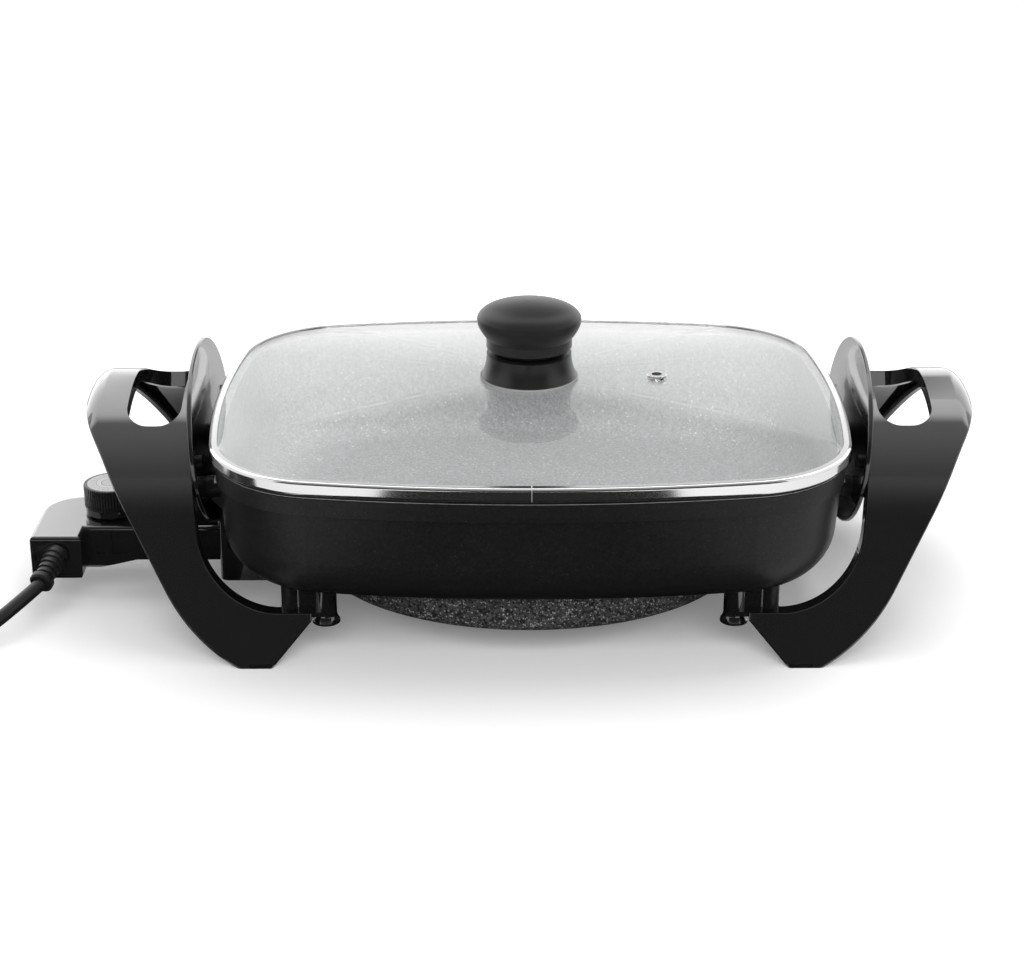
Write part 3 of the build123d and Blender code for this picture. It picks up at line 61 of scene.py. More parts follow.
# %% [markdown]
# ## Camera
# A product shot is taken from some way off with a long lens, so that the near and far sides keep
# nearly the same size. The lens here is 75.5 mm on a 36 mm wide sensor. The camera stands 0.56 m
# up, well above the lid, and looks down at it.

# %% Camera
camera = bpy.data.objects.new("camera", bpy.data.cameras.new("camera"))
scene.collection.objects.link(camera)
camera.data.sensor_width = 36.0
camera.data.lens = 75.5
camera.data.clip_start = 0.05
camera.data.clip_end = 40.0
camera.location = (0.00385, -1.2038, 0.556)
look_at = Vector((0.00765, 0.0, 0.0652))
camera.rotation_euler = (look_at - camera.location).to_track_quat("-Z", "Y").to_euler()
scene.camera = camera
scene.view_settings.view_transform = "Standard"
print("camera distance", round((look_at - camera.location).length, 3))

# %% [markdown]
# ## Mains cord
# A mains cord is one smooth line of fixed length. It is drawn as a curve whose control points are
# the cord's route, and a round bevel gives it thickness. What isn't needed lies as a small coil of
# turns beside and on each other, and the plug lies next to it.

# %% Cord route
CORD_DIAMETER = 0.008
lead = [
    (-0.2683, -0.0620, 0.0280), (-0.2776, -0.0750, 0.0228), (-0.2938, -0.0910, 0.0135),
    (-0.3143, -0.1050, 0.0058), (-0.3323, -0.1110, 0.0042), (-0.3498, -0.1120, 0.0040),
]
tail = [(-0.3978, -0.0243, 0.0120), (-0.3916, -0.0153, 0.0116), (-0.3868, -0.0052, 0.0102)]
coil_centre = Vector((-0.3653, -0.0640, 0.0))
# radius and height of each lane of the coil
COIL_LANES = [(0.0492, 0.0040), (0.0410, 0.0040), (0.0410, 0.0120), (0.0492, 0.0120)]
LANE_CHANGES = [0.80, 1.55, 2.30]  # in turns
CHANGE_TURN = 0.2
COIL_START = -72.1  # degrees
COIL_SWEEP = 1238.6
POINTS_PER_TURN = 14


def coil_points():
    """Turns that lie on the floor, then on top of it, changing lane one after another."""
    steps = round(COIL_SWEEP / 360 * POINTS_PER_TURN)
    points = []
    for step in range(1, steps):
        turn = COIL_SWEEP / 360 * step / steps
        radius, height = COIL_LANES[0]
        for change, lane in zip(LANE_CHANGES, COIL_LANES[1:]):
            share = min(1.0, max(0.0, (turn - change) / CHANGE_TURN))
            radius += (lane[0] - radius) * share
            height += (lane[1] - height) * share
        angle = math.radians(COIL_START - 360 * turn)
        spoke = Vector((radius * math.cos(angle), radius * math.sin(angle), height))
        points.append(coil_centre + spoke)
    return points


route = [Vector(p) for p in lead] + coil_points() + [Vector(p) for p in tail]
print("route points", len(route))

# %% Cord curve
cord_curve = bpy.data.curves.new("mains_cord", "CURVE")
cord_curve.dimensions = "3D"
line = cord_curve.splines.new("NURBS")
line.points.add(len(route) - 1)
for point, place in zip(line.points, route):
    point.co = (*place, 1.0)
    point.radius = CORD_DIAMETER / 2
line.order_u = 3
line.use_endpoint_u = True
line.resolution_u = 6
cord_curve.bevel_depth = 1.0  # times each point's radius
cord_curve.bevel_resolution = 5
cord_curve.use_fill_caps = True
mains_cord = bpy.data.objects.new("mains_cord", cord_curve)
scene.collection.objects.link(mains_cord)


def curve_length(curve):
    """Length of the curve's own line, without its thickness."""
    bare = curve.copy()
    bare.bevel_depth = 0.0
    probe = bpy.data.objects.new("measure", bare)
    mesh = bpy.data.meshes.new_from_object(probe)
    places = [vertex.co for vertex in mesh.vertices]
    total = sum((places[a] - places[b]).length for a, b in (edge.vertices for edge in mesh.edges))
    bpy.data.objects.remove(probe)
    bpy.data.curves.remove(bare)
    bpy.data.meshes.remove(mesh)
    return total


cord_length = curve_length(cord_curve)
print("cord length", round(cord_length, 3))
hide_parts("cord_lead", "cord_coil", "cord_tail")
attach(mains_cord, "probe")

# %% [markdown]
# ## Lid knob
# The knob is turned: one outline spun about the lid's middle. Its crown is a low dome, which needs
# a close row of rings to look smooth, and it ends in a crease above the flare that fingers hold.
# A second ring close beside each crease keeps it crisp while the rest is shaded smoothly.

# %% Lid knob
knob_low, knob_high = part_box("knob")
knob_middle = Vector(((knob_low[0] + knob_high[0]) / 2, 0.0, 0.0))
NECK_TOP = knob_low[2] + 0.0026
CREASE = knob_high[2] - 0.0085
# radius and height in millimetres, from the crease, from the neck's top and from the knob's foot
CROWN = [
    (0.0, 8.5), (4.0, 8.42), (8.0, 8.2), (12.0, 7.8), (15.5, 7.3), (18.5, 6.75), (21.0, 6.15),
    (23.5, 5.35), (25.8, 4.35), (27.8, 3.1), (29.3, 1.7), (30.35, 0.15),
]
GRIP = [
    (30.45, 0.0), (30.6, -0.4), (30.7, -1.6), (30.6, -3.2), (30.2, -4.8), (29.4, -6.6),
    (28.3, -8.6), (26.9, -10.6), (25.5, -12.3), (25.3, -12.6),
]
RING_HEIGHT = 6.8
RING = [(25.3, RING_HEIGHT), (25.3, 1.7), (25.2, 1.5), (23.7, 0.1), (23.5, 0.0), (20.5, 0.0)]
BORE = [(20.5, 0.0), (2.9, 0.0), (2.9, 20.0), (0.0, 20.0)]
outline = [(r / 1000, CREASE + h / 1000) for r, h in CROWN + GRIP]
outline += [(r / 1000, NECK_TOP + h / 1000) for r, h in RING]
outline += [(r / 1000, knob_low[2] + h / 1000) for r, h in BORE]


def turned(name, outline, middle, steps=128):
    """A solid of revolution about an upright axis, from an outline of radius and height."""
    made = bmesh.new()
    rings = [made.verts.new((middle.x + r, middle.y, z)) for r, z in outline]
    edges = [made.edges.new(pair) for pair in zip(rings, rings[1:])]
    bmesh.ops.spin(
        made, geom=rings + edges, cent=middle, axis=(0, 0, 1), angle=math.tau, steps=steps,
        use_merge=True,
    )
    bmesh.ops.remove_doubles(made, verts=made.verts, dist=1e-6)
    bmesh.ops.recalc_face_normals(made, faces=made.faces)
    for face in made.faces:
        face.smooth = True
    mesh = bpy.data.meshes.new(name)
    made.to_mesh(mesh)
    made.free()
    piece = bpy.data.objects.new(name, mesh)
    scene.collection.objects.link(piece)
    return piece


turned_knob = turned("turned_knob", outline, knob_middle)
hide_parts("knob")
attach(turned_knob, "lid")
print("knob rings", len(outline), "faces", len(turned_knob.data.polygons))

# %% [markdown]
# ## Node steps
# The same few shader steps come back in every finish. Each gets a short name here, so that the
# finishes below read like recipes: a value or a socket goes in, and a socket comes out.

# %% Node steps
def node_tree(material):
    """The material's nodes, emptied, with an output to plug into."""
    material.use_nodes = True
    tree = material.node_tree
    tree.nodes.clear()
    return tree, tree.nodes.new("ShaderNodeOutputMaterial")


def plug(tree, value, socket):
    """Feeds a socket from another one, or sets it to a plain value."""
    if isinstance(value, bpy.types.NodeSocket):
        tree.links.new(value, socket)
    else:
        socket.default_value = value


def math_step(tree, operation, first, second=None):
    """One maths step on sockets or numbers."""
    step = tree.nodes.new("ShaderNodeMath")
    step.operation = operation
    plug(tree, first, step.inputs[0])
    if second is not None:
        plug(tree, second, step.inputs[1])
    return step.outputs[0]


def vector_step(tree, operation, first, second=None):
    """One vector step, which gives out a vector and a value."""
    step = tree.nodes.new("ShaderNodeVectorMath")
    step.operation = operation
    plug(tree, first, step.inputs[0])
    if second is not None:
        plug(tree, second, step.inputs[1])
    return step.outputs[0], step.outputs[1]


def spread(tree, value, start, end, low, high, kind="LINEAR"):
    """A value carried from one span to another, and held at both ends."""
    step = tree.nodes.new("ShaderNodeMapRange")
    step.interpolation_type = kind
    spans = {"Value": value, "From Min": start, "From Max": end, "To Min": low, "To Max": high}
    for name, number in spans.items():
        plug(tree, number, step.inputs[name])
    return step.outputs["Result"]


def ramp(tree, value, start, end, low, high):
    """A smooth step of a value from one place to another."""
    return spread(tree, value, start, end, low, high, "SMOOTHSTEP")


def blend(tree, share, first, second):
    """A colour between two colours."""
    step = tree.nodes.new("ShaderNodeMix")
    step.data_type = "RGBA"
    for place, value in ((0, share), (6, first), (7, second)):
        plug(tree, value, step.inputs[place])
    return step.outputs[2]


def blend_number(tree, share, first, second):
    """A number between two numbers."""
    step = tree.nodes.new("ShaderNodeMix")
    for place, value in ((0, share), (2, first), (3, second)):
        plug(tree, value, step.inputs[place])
    return step.outputs[0]


def place_on_piece(tree):
    """The place on the piece."""
    return tree.nodes.new("ShaderNodeTexCoord").outputs["Object"]


def axes_of(tree, vector):
    """The three axes of a vector, by name."""
    axes = tree.nodes.new("ShaderNodeSeparateXYZ")
    tree.links.new(vector, axes.inputs[0])
    return axes.outputs


def noise(tree, place, scale, detail=2.0):
    """The value of a cloudy noise."""
    cloud = tree.nodes.new("ShaderNodeTexNoise")
    cloud.inputs["Detail"].default_value = detail
    plug(tree, scale, cloud.inputs["Scale"])
    tree.links.new(place, cloud.inputs["Vector"])
    return cloud.outputs["Fac"]


def bump(tree, height, depth):
    """A normal that stands for a height at this depth in metres."""
    dents = tree.nodes.new("ShaderNodeBump")
    plug(tree, height, dents.inputs["Height"])
    plug(tree, depth, dents.inputs["Distance"])
    return dents.outputs["Normal"]


def effect(tree, group, values):
    """One use of a shared effect, with its inputs set by name."""
    made = tree.nodes.new("ShaderNodeGroup")
    made.node_tree = group
    for name, value in values.items():
        plug(tree, value, made.inputs[name])
    return made.outputs


def principled(tree, sockets):
    """The finish's shader, with its sockets fed or set by name."""
    shader = tree.nodes.new("ShaderNodeBsdfPrincipled")
    for name, value in sockets.items():
        plug(tree, value, shader.inputs[name])
    return shader.outputs[0]


print("node steps ready")

# %% [markdown]
# ## Floor
# The skillet stands on white paper. A studio would light the paper until it burns out, which also
# floods the skillet. Here the paper itself glows a little, and more so away from the middle, but
# only to the camera, also through the glass. So the shadow stays, and the skillet isn't lit by it.

# %% Floor
FLOOR_COLOUR = (0.93, 0.93, 0.93, 1)
GLOW_FROM, GLOW_TO = 0.26, 0.52  # metres from the middle, between which the paper glows more
NEAR_GLOW, FAR_GLOW = 0.14, 0.7

floor_finish = bpy.data.materials.new("floor_paper")
tree, output = node_tree(floor_finish)
paper = tree.nodes.new("ShaderNodeBsdfDiffuse")
paper.inputs["Color"].default_value = FLOOR_COLOUR
glow = tree.nodes.new("ShaderNodeEmission")
seen = tree.nodes.new("ShaderNodeLightPath").outputs
seen_by_eye = math_step(tree, "MAXIMUM", seen["Is Camera Ray"], seen["Is Transmission Ray"])
distance = vector_step(tree, "LENGTH", place_on_piece(tree))[1]
lift = spread(tree, distance, GLOW_FROM, GLOW_TO, NEAR_GLOW, FAR_GLOW)
tree.links.new(math_step(tree, "MULTIPLY", seen_by_eye, lift), glow.inputs["Strength"])
both = tree.nodes.new("ShaderNodeAddShader")
tree.links.new(paper.outputs[0], both.inputs[0])
tree.links.new(glow.outputs[0], both.inputs[1])
tree.links.new(both.outputs[0], output.inputs["Surface"])

floor_mesh = bpy.data.meshes.new("floor")
sheet = bmesh.new()
bmesh.ops.create_grid(sheet, x_segments=1, y_segments=1, size=6.0)
sheet.to_mesh(floor_mesh)
sheet.free()
floor = bpy.data.objects.new("floor", floor_mesh)
scene.collection.objects.link(floor)
floor_mesh.materials.append(floor_finish)

# %% [markdown]
# ## Studio room
# Round the set is a plain pale room. As light it is dim, so that the lamps shape the skillet. To
# the camera, to the glass and in the gloss it is white. Light Path tells the two apart.

# %% World
world = bpy.data.worlds.new("studio")
scene.world = world
world.use_nodes = True
tree = world.node_tree
tree.nodes.clear()
output = tree.nodes.new("ShaderNodeOutputWorld")
seen = tree.nodes.new("ShaderNodeLightPath").outputs
by_eye_or_gloss = math_step(tree, "MAXIMUM", seen["Is Camera Ray"], seen["Is Glossy Ray"])
seen_white = math_step(tree, "MAXIMUM", by_eye_or_gloss, seen["Is Transmission Ray"])
choose = tree.nodes.new("ShaderNodeMixShader")
tree.links.new(seen_white, choose.inputs["Fac"])
for place, strength in ((1, 0.44), (2, 1.0)):  # as light, and as seen
    room = tree.nodes.new("ShaderNodeBackground")
    room.inputs["Color"].default_value = (1, 1, 1, 1)
    room.inputs["Strength"].default_value = strength
    tree.links.new(room.outputs[0], choose.inputs[place])
tree.links.new(choose.outputs[0], output.inputs["Surface"])
print("room:", world.name)

# %% [markdown]
# ## Lamps
# Two large soft lamps shape the skillet: one overhead on the right, so that the shadow leans to
# the left, and a stronger one in front that opens the shadow under the pan. Both are kept out of
# the reflections, which the cards draw instead.

# %% Lamps
def soft_lamp(name, place, target, width, height, power):
    """A soft lamp that faces its target and is seen neither itself nor in the gloss."""
    lamp = bpy.data.lights.new(name, "AREA")
    lamp.shape = "RECTANGLE"
    lamp.size = width
    lamp.size_y = height
    lamp.energy = power
    holder = bpy.data.objects.new(name, lamp)
    scene.collection.objects.link(holder)
    holder.location = place
    holder.rotation_euler = (Vector(target) - Vector(place)).to_track_quat("-Z", "Y").to_euler()
    holder.visible_camera = False
    holder.visible_glossy = False


soft_lamp("key_lamp", (0.35, 0.15, 2.0), (0, 0, 0.05), 1.2, 1.2, 15)
soft_lamp("front_lamp", (0.1, -1.6, 1.2), (0, 0, 0.02), 1.6, 1.0, 23)

# %% [markdown]
# ## Cards
# Black gloss has no colour of its own and shows only what stands round it. Silk and felt are
# placed for that. The back silk is bright at both sides and low down, and dark in
# its middle, where the lid would otherwise hide the lining behind a white glare. The ceiling silk
# fades towards the camera, and the felts darken what the band and the feet see of the floor.

# %% Cards that only the gloss sees
def card(name, width, height, turn, centre, finish):
    """A flat card that shows up in reflections alone and neither lights nor shades anything."""
    mesh = bpy.data.meshes.new(name)
    sheet = bmesh.new()
    bmesh.ops.create_grid(sheet, x_segments=1, y_segments=1, size=0.5)
    bmesh.ops.scale(sheet, verts=sheet.verts, vec=(width, height, 1))
    tilt = Matrix.Rotation(math.radians(turn), 3, "X")
    bmesh.ops.rotate(sheet, verts=sheet.verts, cent=(0, 0, 0), matrix=tilt)
    bmesh.ops.translate(sheet, verts=sheet.verts, vec=centre)
    sheet.to_mesh(mesh)
    sheet.free()
    mesh.materials.append(finish)
    made = bpy.data.objects.new(name, mesh)
    scene.collection.objects.link(made)
    made.visible_camera = False
    made.visible_diffuse = False
    made.visible_shadow = False
    made.visible_transmission = False


def glowing(name, strength_of):
    """A card finish whose glow depends on the place on the card."""
    finish = bpy.data.materials.new(name)
    tree, output = node_tree(finish)
    axes = axes_of(tree, place_on_piece(tree))
    glow = tree.nodes.new("ShaderNodeEmission")
    tree.links.new(strength_of(tree, axes), glow.inputs["Strength"])
    tree.links.new(glow.outputs[0], output.inputs["Surface"])
    return finish


def back_glow(tree, axes):
    """Bright at both sides and low down, dark in the middle, so that the glass shows the lining."""
    left = ramp(tree, axes["X"], -0.25, -0.85, 0.16, 2.4)
    right = ramp(tree, axes["X"], 0.50, 1.05, 0.16, 1.9)
    low_strip = ramp(tree, axes["Z"], 1.25, 0.70, 0.0, 1.6)
    return math_step(tree, "MAXIMUM", math_step(tree, "MAXIMUM", left, right), low_strip)


def ceiling_glow(tree, axes):
    """Fades towards the camera's side, so that the arches' fronts go dark downwards."""
    behind = ramp(tree, axes["Y"], 0.1, 1.0, 0.0, 2.5)
    overhead = ramp(tree, axes["Y"], -2.6, 0.3, 0.28, 0.60)
    return math_step(tree, "MAXIMUM", behind, overhead)


def camera_side_glow(tree, axes):
    """Nearly black near the floor."""
    return ramp(tree, axes["Z"], 1.1, 3.3, 0.05, 0.34)


card("back_silk", 6.0, 3.3, 90, (0, 2.0, 1.65), glowing("back_silk", back_glow))
card("ceiling_silk", 6.0, 4.6, 0, (0, -0.3, 3.3), glowing("ceiling_silk", ceiling_glow))
camera_side = glowing("camera_side_felt", camera_side_glow)
card("camera_side_felt", 6.0, 3.3, 90, (0, -2.6, 1.65), camera_side)

felt_finish = bpy.data.materials.new("felt")
tree, output = node_tree(felt_finish)
felt = tree.nodes.new("ShaderNodeBsdfDiffuse")
felt.inputs["Color"].default_value = (0.02, 0.02, 0.02, 1)
tree.links.new(felt.outputs[0], output.inputs["Surface"])
card("front_felt", 0.32, 1.6, 0, (0.018, -0.73, 0.002), felt_finish)
card("probe_felt", 0.34, 0.19, 0, (-0.33, -0.125, 0.002), felt_finish)
print("cards in place")

# %% [markdown]
# ## Shared effects
# Moulded plastic is never a perfect mirror: it has a fine pebble in its skin, and its polish
# varies a little where hands and cloths have been. Both are needed in many finishes, so each is
# one node group with named inputs.

# %% Node groups
def effect_group(name, inputs, outputs):
    """An empty shader node group with its sockets, and its input and output nodes."""
    group = bpy.data.node_groups.new(name, "ShaderNodeTree")
    for socket, kind, value in inputs:
        made = group.interface.new_socket(socket, in_out="INPUT", socket_type=kind)
        made.default_value = value
    for socket, kind in outputs:
        group.interface.new_socket(socket, in_out="OUTPUT", socket_type=kind)
    return group, group.nodes.new("NodeGroupInput"), group.nodes.new("NodeGroupOutput")


skin_group, skin_in, skin_out = effect_group(
    "moulded_skin",
    [
        ("Scale", "NodeSocketFloat", 900.0), ("Depth", "NodeSocketFloat", 0.00001),
        ("Roughness Low", "NodeSocketFloat", 0.18), ("Roughness High", "NodeSocketFloat", 0.26),
    ],
    [("Roughness", "NodeSocketFloat"), ("Normal", "NodeSocketVector")],
)
place = place_on_piece(skin_group)
pebble = noise(skin_group, place, skin_in.outputs["Scale"], 3.0)
wipes = noise(skin_group, place, 22.0, 4.0)
polish = spread(
    skin_group, wipes, 0.35, 0.65,
    skin_in.outputs["Roughness Low"], skin_in.outputs["Roughness High"],
)
skin_group.links.new(polish, skin_out.inputs["Roughness"])
skin_group.links.new(bump(skin_group, pebble, skin_in.outputs["Depth"]), skin_out.inputs["Normal"])

speckle_group, speckle_in, speckle_out = effect_group(
    "stone_speckle",
    [
        ("Ground", "NodeSocketColor", (0.03, 0.03, 0.03, 1)),
        ("Fleck", "NodeSocketColor", (0.4, 0.45, 0.45, 1)),
        ("Scale", "NodeSocketFloat", 600.0), ("Amount", "NodeSocketFloat", 0.2),
        ("Grain", "NodeSocketFloat", 0.2),
    ],
    [("Color", "NodeSocketColor"), ("Fleck Mask", "NodeSocketFloat")],
)
place = place_on_piece(speckle_group)
cells = speckle_group.nodes.new("ShaderNodeTexVoronoi")
speckle_group.links.new(place, cells.inputs["Vector"])
speckle_group.links.new(speckle_in.outputs["Scale"], cells.inputs["Scale"])
split = speckle_group.nodes.new("ShaderNodeSeparateColor")
speckle_group.links.new(cells.outputs["Color"], split.inputs["Color"])
# some cells hold a fleck, more of them in one place than in another, each with its own size
crowd = spread(speckle_group, noise(speckle_group, place, 45.0, 3.0), 0.38, 0.66, 0.6, 1.4)
share = math_step(speckle_group, "MULTIPLY", crowd, speckle_in.outputs["Amount"])
chosen = math_step(speckle_group, "LESS_THAN", split.outputs["Red"], share)
reach = spread(speckle_group, split.outputs["Green"], 0.0, 1.0, 0.30, 0.75)
size = spread(speckle_group, cells.outputs["Distance"], reach, 0.05, 0.0, 1.0)
fleck = math_step(speckle_group, "MULTIPLY", chosen, size)
# the ground between the flecks is lighter in one cell than in the next
peak = math_step(speckle_group, "ADD", speckle_in.outputs["Grain"], 1.0)
shade = spread(speckle_group, split.outputs["Blue"], 0.5, 1.0, 1.0, peak)
shade.node.clamp = False
grained = speckle_group.nodes.new("ShaderNodeVectorMath")
grained.operation = "SCALE"
speckle_group.links.new(speckle_in.outputs["Ground"], grained.inputs[0])
speckle_group.links.new(shade, grained.inputs["Scale"])
paint = blend(speckle_group, fleck, grained.outputs[0], speckle_in.outputs["Fleck"])
speckle_group.links.new(paint, speckle_out.inputs["Color"])
speckle_group.links.new(fleck, speckle_out.inputs["Fleck Mask"])
print("effects:", skin_group.name, speckle_group.name)

# %% [markdown]
# ## Plastics
# Each finish is one material with one Principled shader. The handles, guards and probe are
# polished moulded plastic with a clear, hard skin. The knob has a dull soft touch instead, so it
# gets less shine and a trace of sheen. Below its grip, the ring and the collar have more polish.

# %% Plastics
def shades(colour, darker, lighter):
    """A darker and a lighter shade of a colour."""
    return (*[c * darker for c in colour], 1), (*[min(1.0, c * lighter) for c in colour], 1)


def plastic(name, colour, scale, depth, low, high, coat=0.0, shine=0.5, sheen=0.0):
    """A moulded plastic with its own pebble and polish."""
    material = bpy.data.materials.new(name)
    tree, output = node_tree(material)
    skin = effect(tree, skin_group, {
        "Scale": scale, "Depth": depth, "Roughness Low": low, "Roughness High": high,
    })
    tint = noise(tree, place_on_piece(tree), 60.0)
    shader = principled(tree, {
        "Base Color": blend(tree, tint, *shades(colour, 0.9, 1.1)),
        "Roughness": skin["Roughness"], "Normal": skin["Normal"], "Specular IOR Level": shine,
        "Sheen Weight": sheen, "Sheen Roughness": 0.3, "Coat Weight": coat, "Coat IOR": 1.8,
    })
    tree.links.new(shader, output.inputs["Surface"])
    return material


def polish_below(material, height, roughness, shine):
    """Gives a plastic more polish and no sheen below a height."""
    tree = material.node_tree
    shader = tree.nodes["Principled BSDF"]
    axes = axes_of(tree, place_on_piece(tree))
    below = ramp(tree, axes["Z"], height + 0.0003, height - 0.0003, 0.0, 1.0)
    changes = {"Roughness": roughness, "Specular IOR Level": shine, "Sheen Weight": 0.0}
    for name, polished in changes.items():
        socket = shader.inputs[name]
        dull = socket.links[0].from_socket if socket.is_linked else socket.default_value
        tree.links.new(blend_number(tree, below, dull, polished), socket)


handle_plastic = plastic(
    "handle_plastic", (0.006, 0.006, 0.0065), 500, 0.000003, 0.10, 0.16, coat=1.0
)
guard_plastic = plastic(
    "guard_plastic", (0.006, 0.006, 0.0065), 500, 0.000003, 0.12, 0.18, coat=0.5
)
knob_plastic = plastic(
    "knob_plastic", (0.012, 0.012, 0.0125), 2600, 0.00002, 0.34, 0.42, shine=0.24, sheen=0.2
)
polish_below(knob_plastic, NECK_TOP + RING_HEIGHT / 1000, 0.30, 0.42)
probe_black = plastic("probe_black", (0.007, 0.007, 0.0075), 500, 0.000003, 0.14, 0.20, coat=0.8)
switch_plastic = plastic("switch_plastic", (0.10, 0.035, 0.015), 900, 0.00002, 0.35, 0.45)
ceramic = plastic("ceramic", (0.68, 0.64, 0.56), 700, 0.00001, 0.25, 0.4)
white_silicone = plastic("white_silicone", (0.40, 0.40, 0.39), 1500, 0.00002, 0.45, 0.6)
cord_rubber = plastic("cord_rubber", (0.009, 0.009, 0.0095), 2000, 0.00002, 0.38, 0.5)
print("plastics ready")

# %% [markdown]
# ## Metals
# Sheet, wire and turned metal carry a fine grain, which sets both polish and tint here. The lid's
# band is one rolled strip whose ends meet at the front, so its finish also holds that thin weld.

# %% Metals
def metal(name, colour, low, high, grain_scale, depth, stretch=(1, 1, 1)):
    """A bare metal whose fine grain runs along one direction."""
    material = bpy.data.materials.new(name)
    tree, output = node_tree(material)
    mapping = tree.nodes.new("ShaderNodeMapping")
    mapping.inputs["Scale"].default_value = stretch
    tree.links.new(place_on_piece(tree), mapping.inputs["Vector"])
    grain = noise(tree, mapping.outputs["Vector"], grain_scale, 4.0)
    shader = principled(tree, {
        "Base Color": blend(tree, grain, *shades(colour, 0.93, 1.05)), "Metallic": 1.0,
        "Roughness": spread(tree, grain, 0.0, 1.0, low, high), "Normal": bump(tree, grain, depth),
    })
    tree.links.new(shader, output.inputs["Surface"])
    return material


SEAM_HALF_WIDTH = 0.0003
BAND_FRONT = -0.14  # only the band's front edge reaches this far


def add_seam(material):
    """The upright weld where the band's two ends meet, at the middle of its front."""
    tree = material.node_tree
    roughness = tree.nodes["Principled BSDF"].inputs["Roughness"]
    axes = axes_of(tree, place_on_piece(tree))
    apart = math_step(tree, "ABSOLUTE", math_step(tree, "SUBTRACT", axes["X"], PAN_X))
    line = math_step(tree, "LESS_THAN", apart, SEAM_HALF_WIDTH)
    front = math_step(tree, "LESS_THAN", axes["Y"], BAND_FRONT)
    weld = math_step(tree, "MULTIPLY", line, front)
    tree.links.new(blend_number(tree, weld, roughness.links[0].from_socket, 0.75), roughness)


steel = metal("steel", (0.62, 0.62, 0.62), 0.22, 0.34, 900, 0.000004)
rim_steel = metal("rim_steel", (0.80, 0.80, 0.80), 0.08, 0.14, 700, 0.000002, (1, 1, 6))
add_seam(rim_steel)
black_steel = metal("black_steel", (0.03, 0.03, 0.03), 0.3, 0.4, 900, 0.000004)
element_steel = metal("element_steel", (0.24, 0.22, 0.20), 0.4, 0.55, 800, 0.00001)
brass = metal("brass", (0.78, 0.58, 0.28), 0.18, 0.28, 900, 0.000004)
print("metals ready")

# %% [markdown]
# ## Dial
# The dial turns about its own upright axis, so its ribs, rings and ticks are worked out from the
# distance and angle round that axis. Ribs this fine are cheaper as bump than as faces. The ring of
# ticks stands for a temperature scale, and no figures are needed at this size.

# %% Dial
DIAL_AXIS = (-0.23485, 0.0, 0.0)
DIAL_RIBS = 60
RIBS_START = 0.0155  # metres from the axis
FACE_RADIUS = 0.0148
DIAL_TICKS = 24
TICK_SHARE = 0.14  # of the way to the next tick
TICKS_FROM, TICKS_TO = 0.0100, 0.0128
TICK_COLOUR = (0.16, 0.16, 0.16, 1)
FACE_RINGS = [  # start as a share of the face's radius, and shade
    (0.0, 0.34), (0.36, 0.10), (0.40, 0.40), (0.58, 0.16), (0.61, 0.36), (0.96, 0.04),
]


def round_dial(tree):
    """Distance from the dial's axis in metres, and the angle round it in whole turns."""
    axes = axes_of(tree, vector_step(tree, "SUBTRACT", place_on_piece(tree), DIAL_AXIS)[0])
    squares = [math_step(tree, "MULTIPLY", axes[name], axes[name]) for name in ("X", "Y")]
    radius = math_step(tree, "POWER", math_step(tree, "ADD", *squares), 0.5)
    angle = math_step(tree, "ARCTAN2", axes["Y"], axes["X"])
    return radius, math_step(tree, "DIVIDE", angle, math.tau)


dial_plastic = bpy.data.materials.new("dial_plastic")
tree, output = node_tree(dial_plastic)
radius, turn = round_dial(tree)
wave = math_step(tree, "SINE", math_step(tree, "MULTIPLY", turn, DIAL_RIBS * math.tau))
side = math_step(tree, "GREATER_THAN", radius, RIBS_START)
grain = noise(tree, place_on_piece(tree), 9000.0)
shader = principled(tree, {
    "Base Color": ramp(tree, grain, 0.3, 0.7, 0.005, 0.008),
    "Roughness": ramp(tree, grain, 0.3, 0.7, 0.2, 0.3),
    "Normal": bump(tree, math_step(tree, "MULTIPLY", wave, side), 0.0004),
})
tree.links.new(shader, output.inputs["Surface"])

dial_silver = bpy.data.materials.new("dial_silver")
tree, output = node_tree(dial_silver)
radius, turn = round_dial(tree)
rings = tree.nodes.new("ShaderNodeValToRGB")
rings.color_ramp.interpolation = "CONSTANT"
for at, shade in FACE_RINGS:
    element = rings.color_ramp.elements.new(at)
    element.color = (shade, shade, shade, 1)
rings.color_ramp.elements.remove(rings.color_ramp.elements[-1])  # the ramp's own white end
tree.links.new(math_step(tree, "DIVIDE", radius, FACE_RADIUS), rings.inputs["Fac"])
tick_place = math_step(tree, "FRACT", math_step(tree, "MULTIPLY", turn, DIAL_TICKS))
tick = math_step(tree, "LESS_THAN", tick_place, TICK_SHARE)
beyond = math_step(tree, "GREATER_THAN", radius, TICKS_FROM)
short_of = math_step(tree, "LESS_THAN", radius, TICKS_TO)
marked = math_step(tree, "MULTIPLY", tick, math_step(tree, "MULTIPLY", beyond, short_of))
shader = principled(tree, {
    "Base Color": blend(tree, marked, rings.outputs["Color"], TICK_COLOUR),
    "Metallic": 0.7, "Roughness": 0.32,
})
tree.links.new(shader, output.inputs["Surface"])
print("dial ready")

# %% [markdown]
# ## Cast pan and heater
# The pan is one casting with two coats: plain black outside, and a pale stone lining inside. The
# surface's own direction tells them apart, because the lining faces up or towards the middle. The
# heater plate below is left rough and hammered.

# %% Cast pan and heater
LINING_HALF_WIDTH = 0.183  # the guards' lugs lie outside and stay dark


def speckle(tree, ground, fleck, scale, amount, grain):
    """A coat of stone speckle in two colours."""
    return effect(tree, speckle_group, {
        "Ground": (*ground, 1), "Fleck": (*fleck, 1), "Scale": scale, "Amount": amount,
        "Grain": grain,
    })


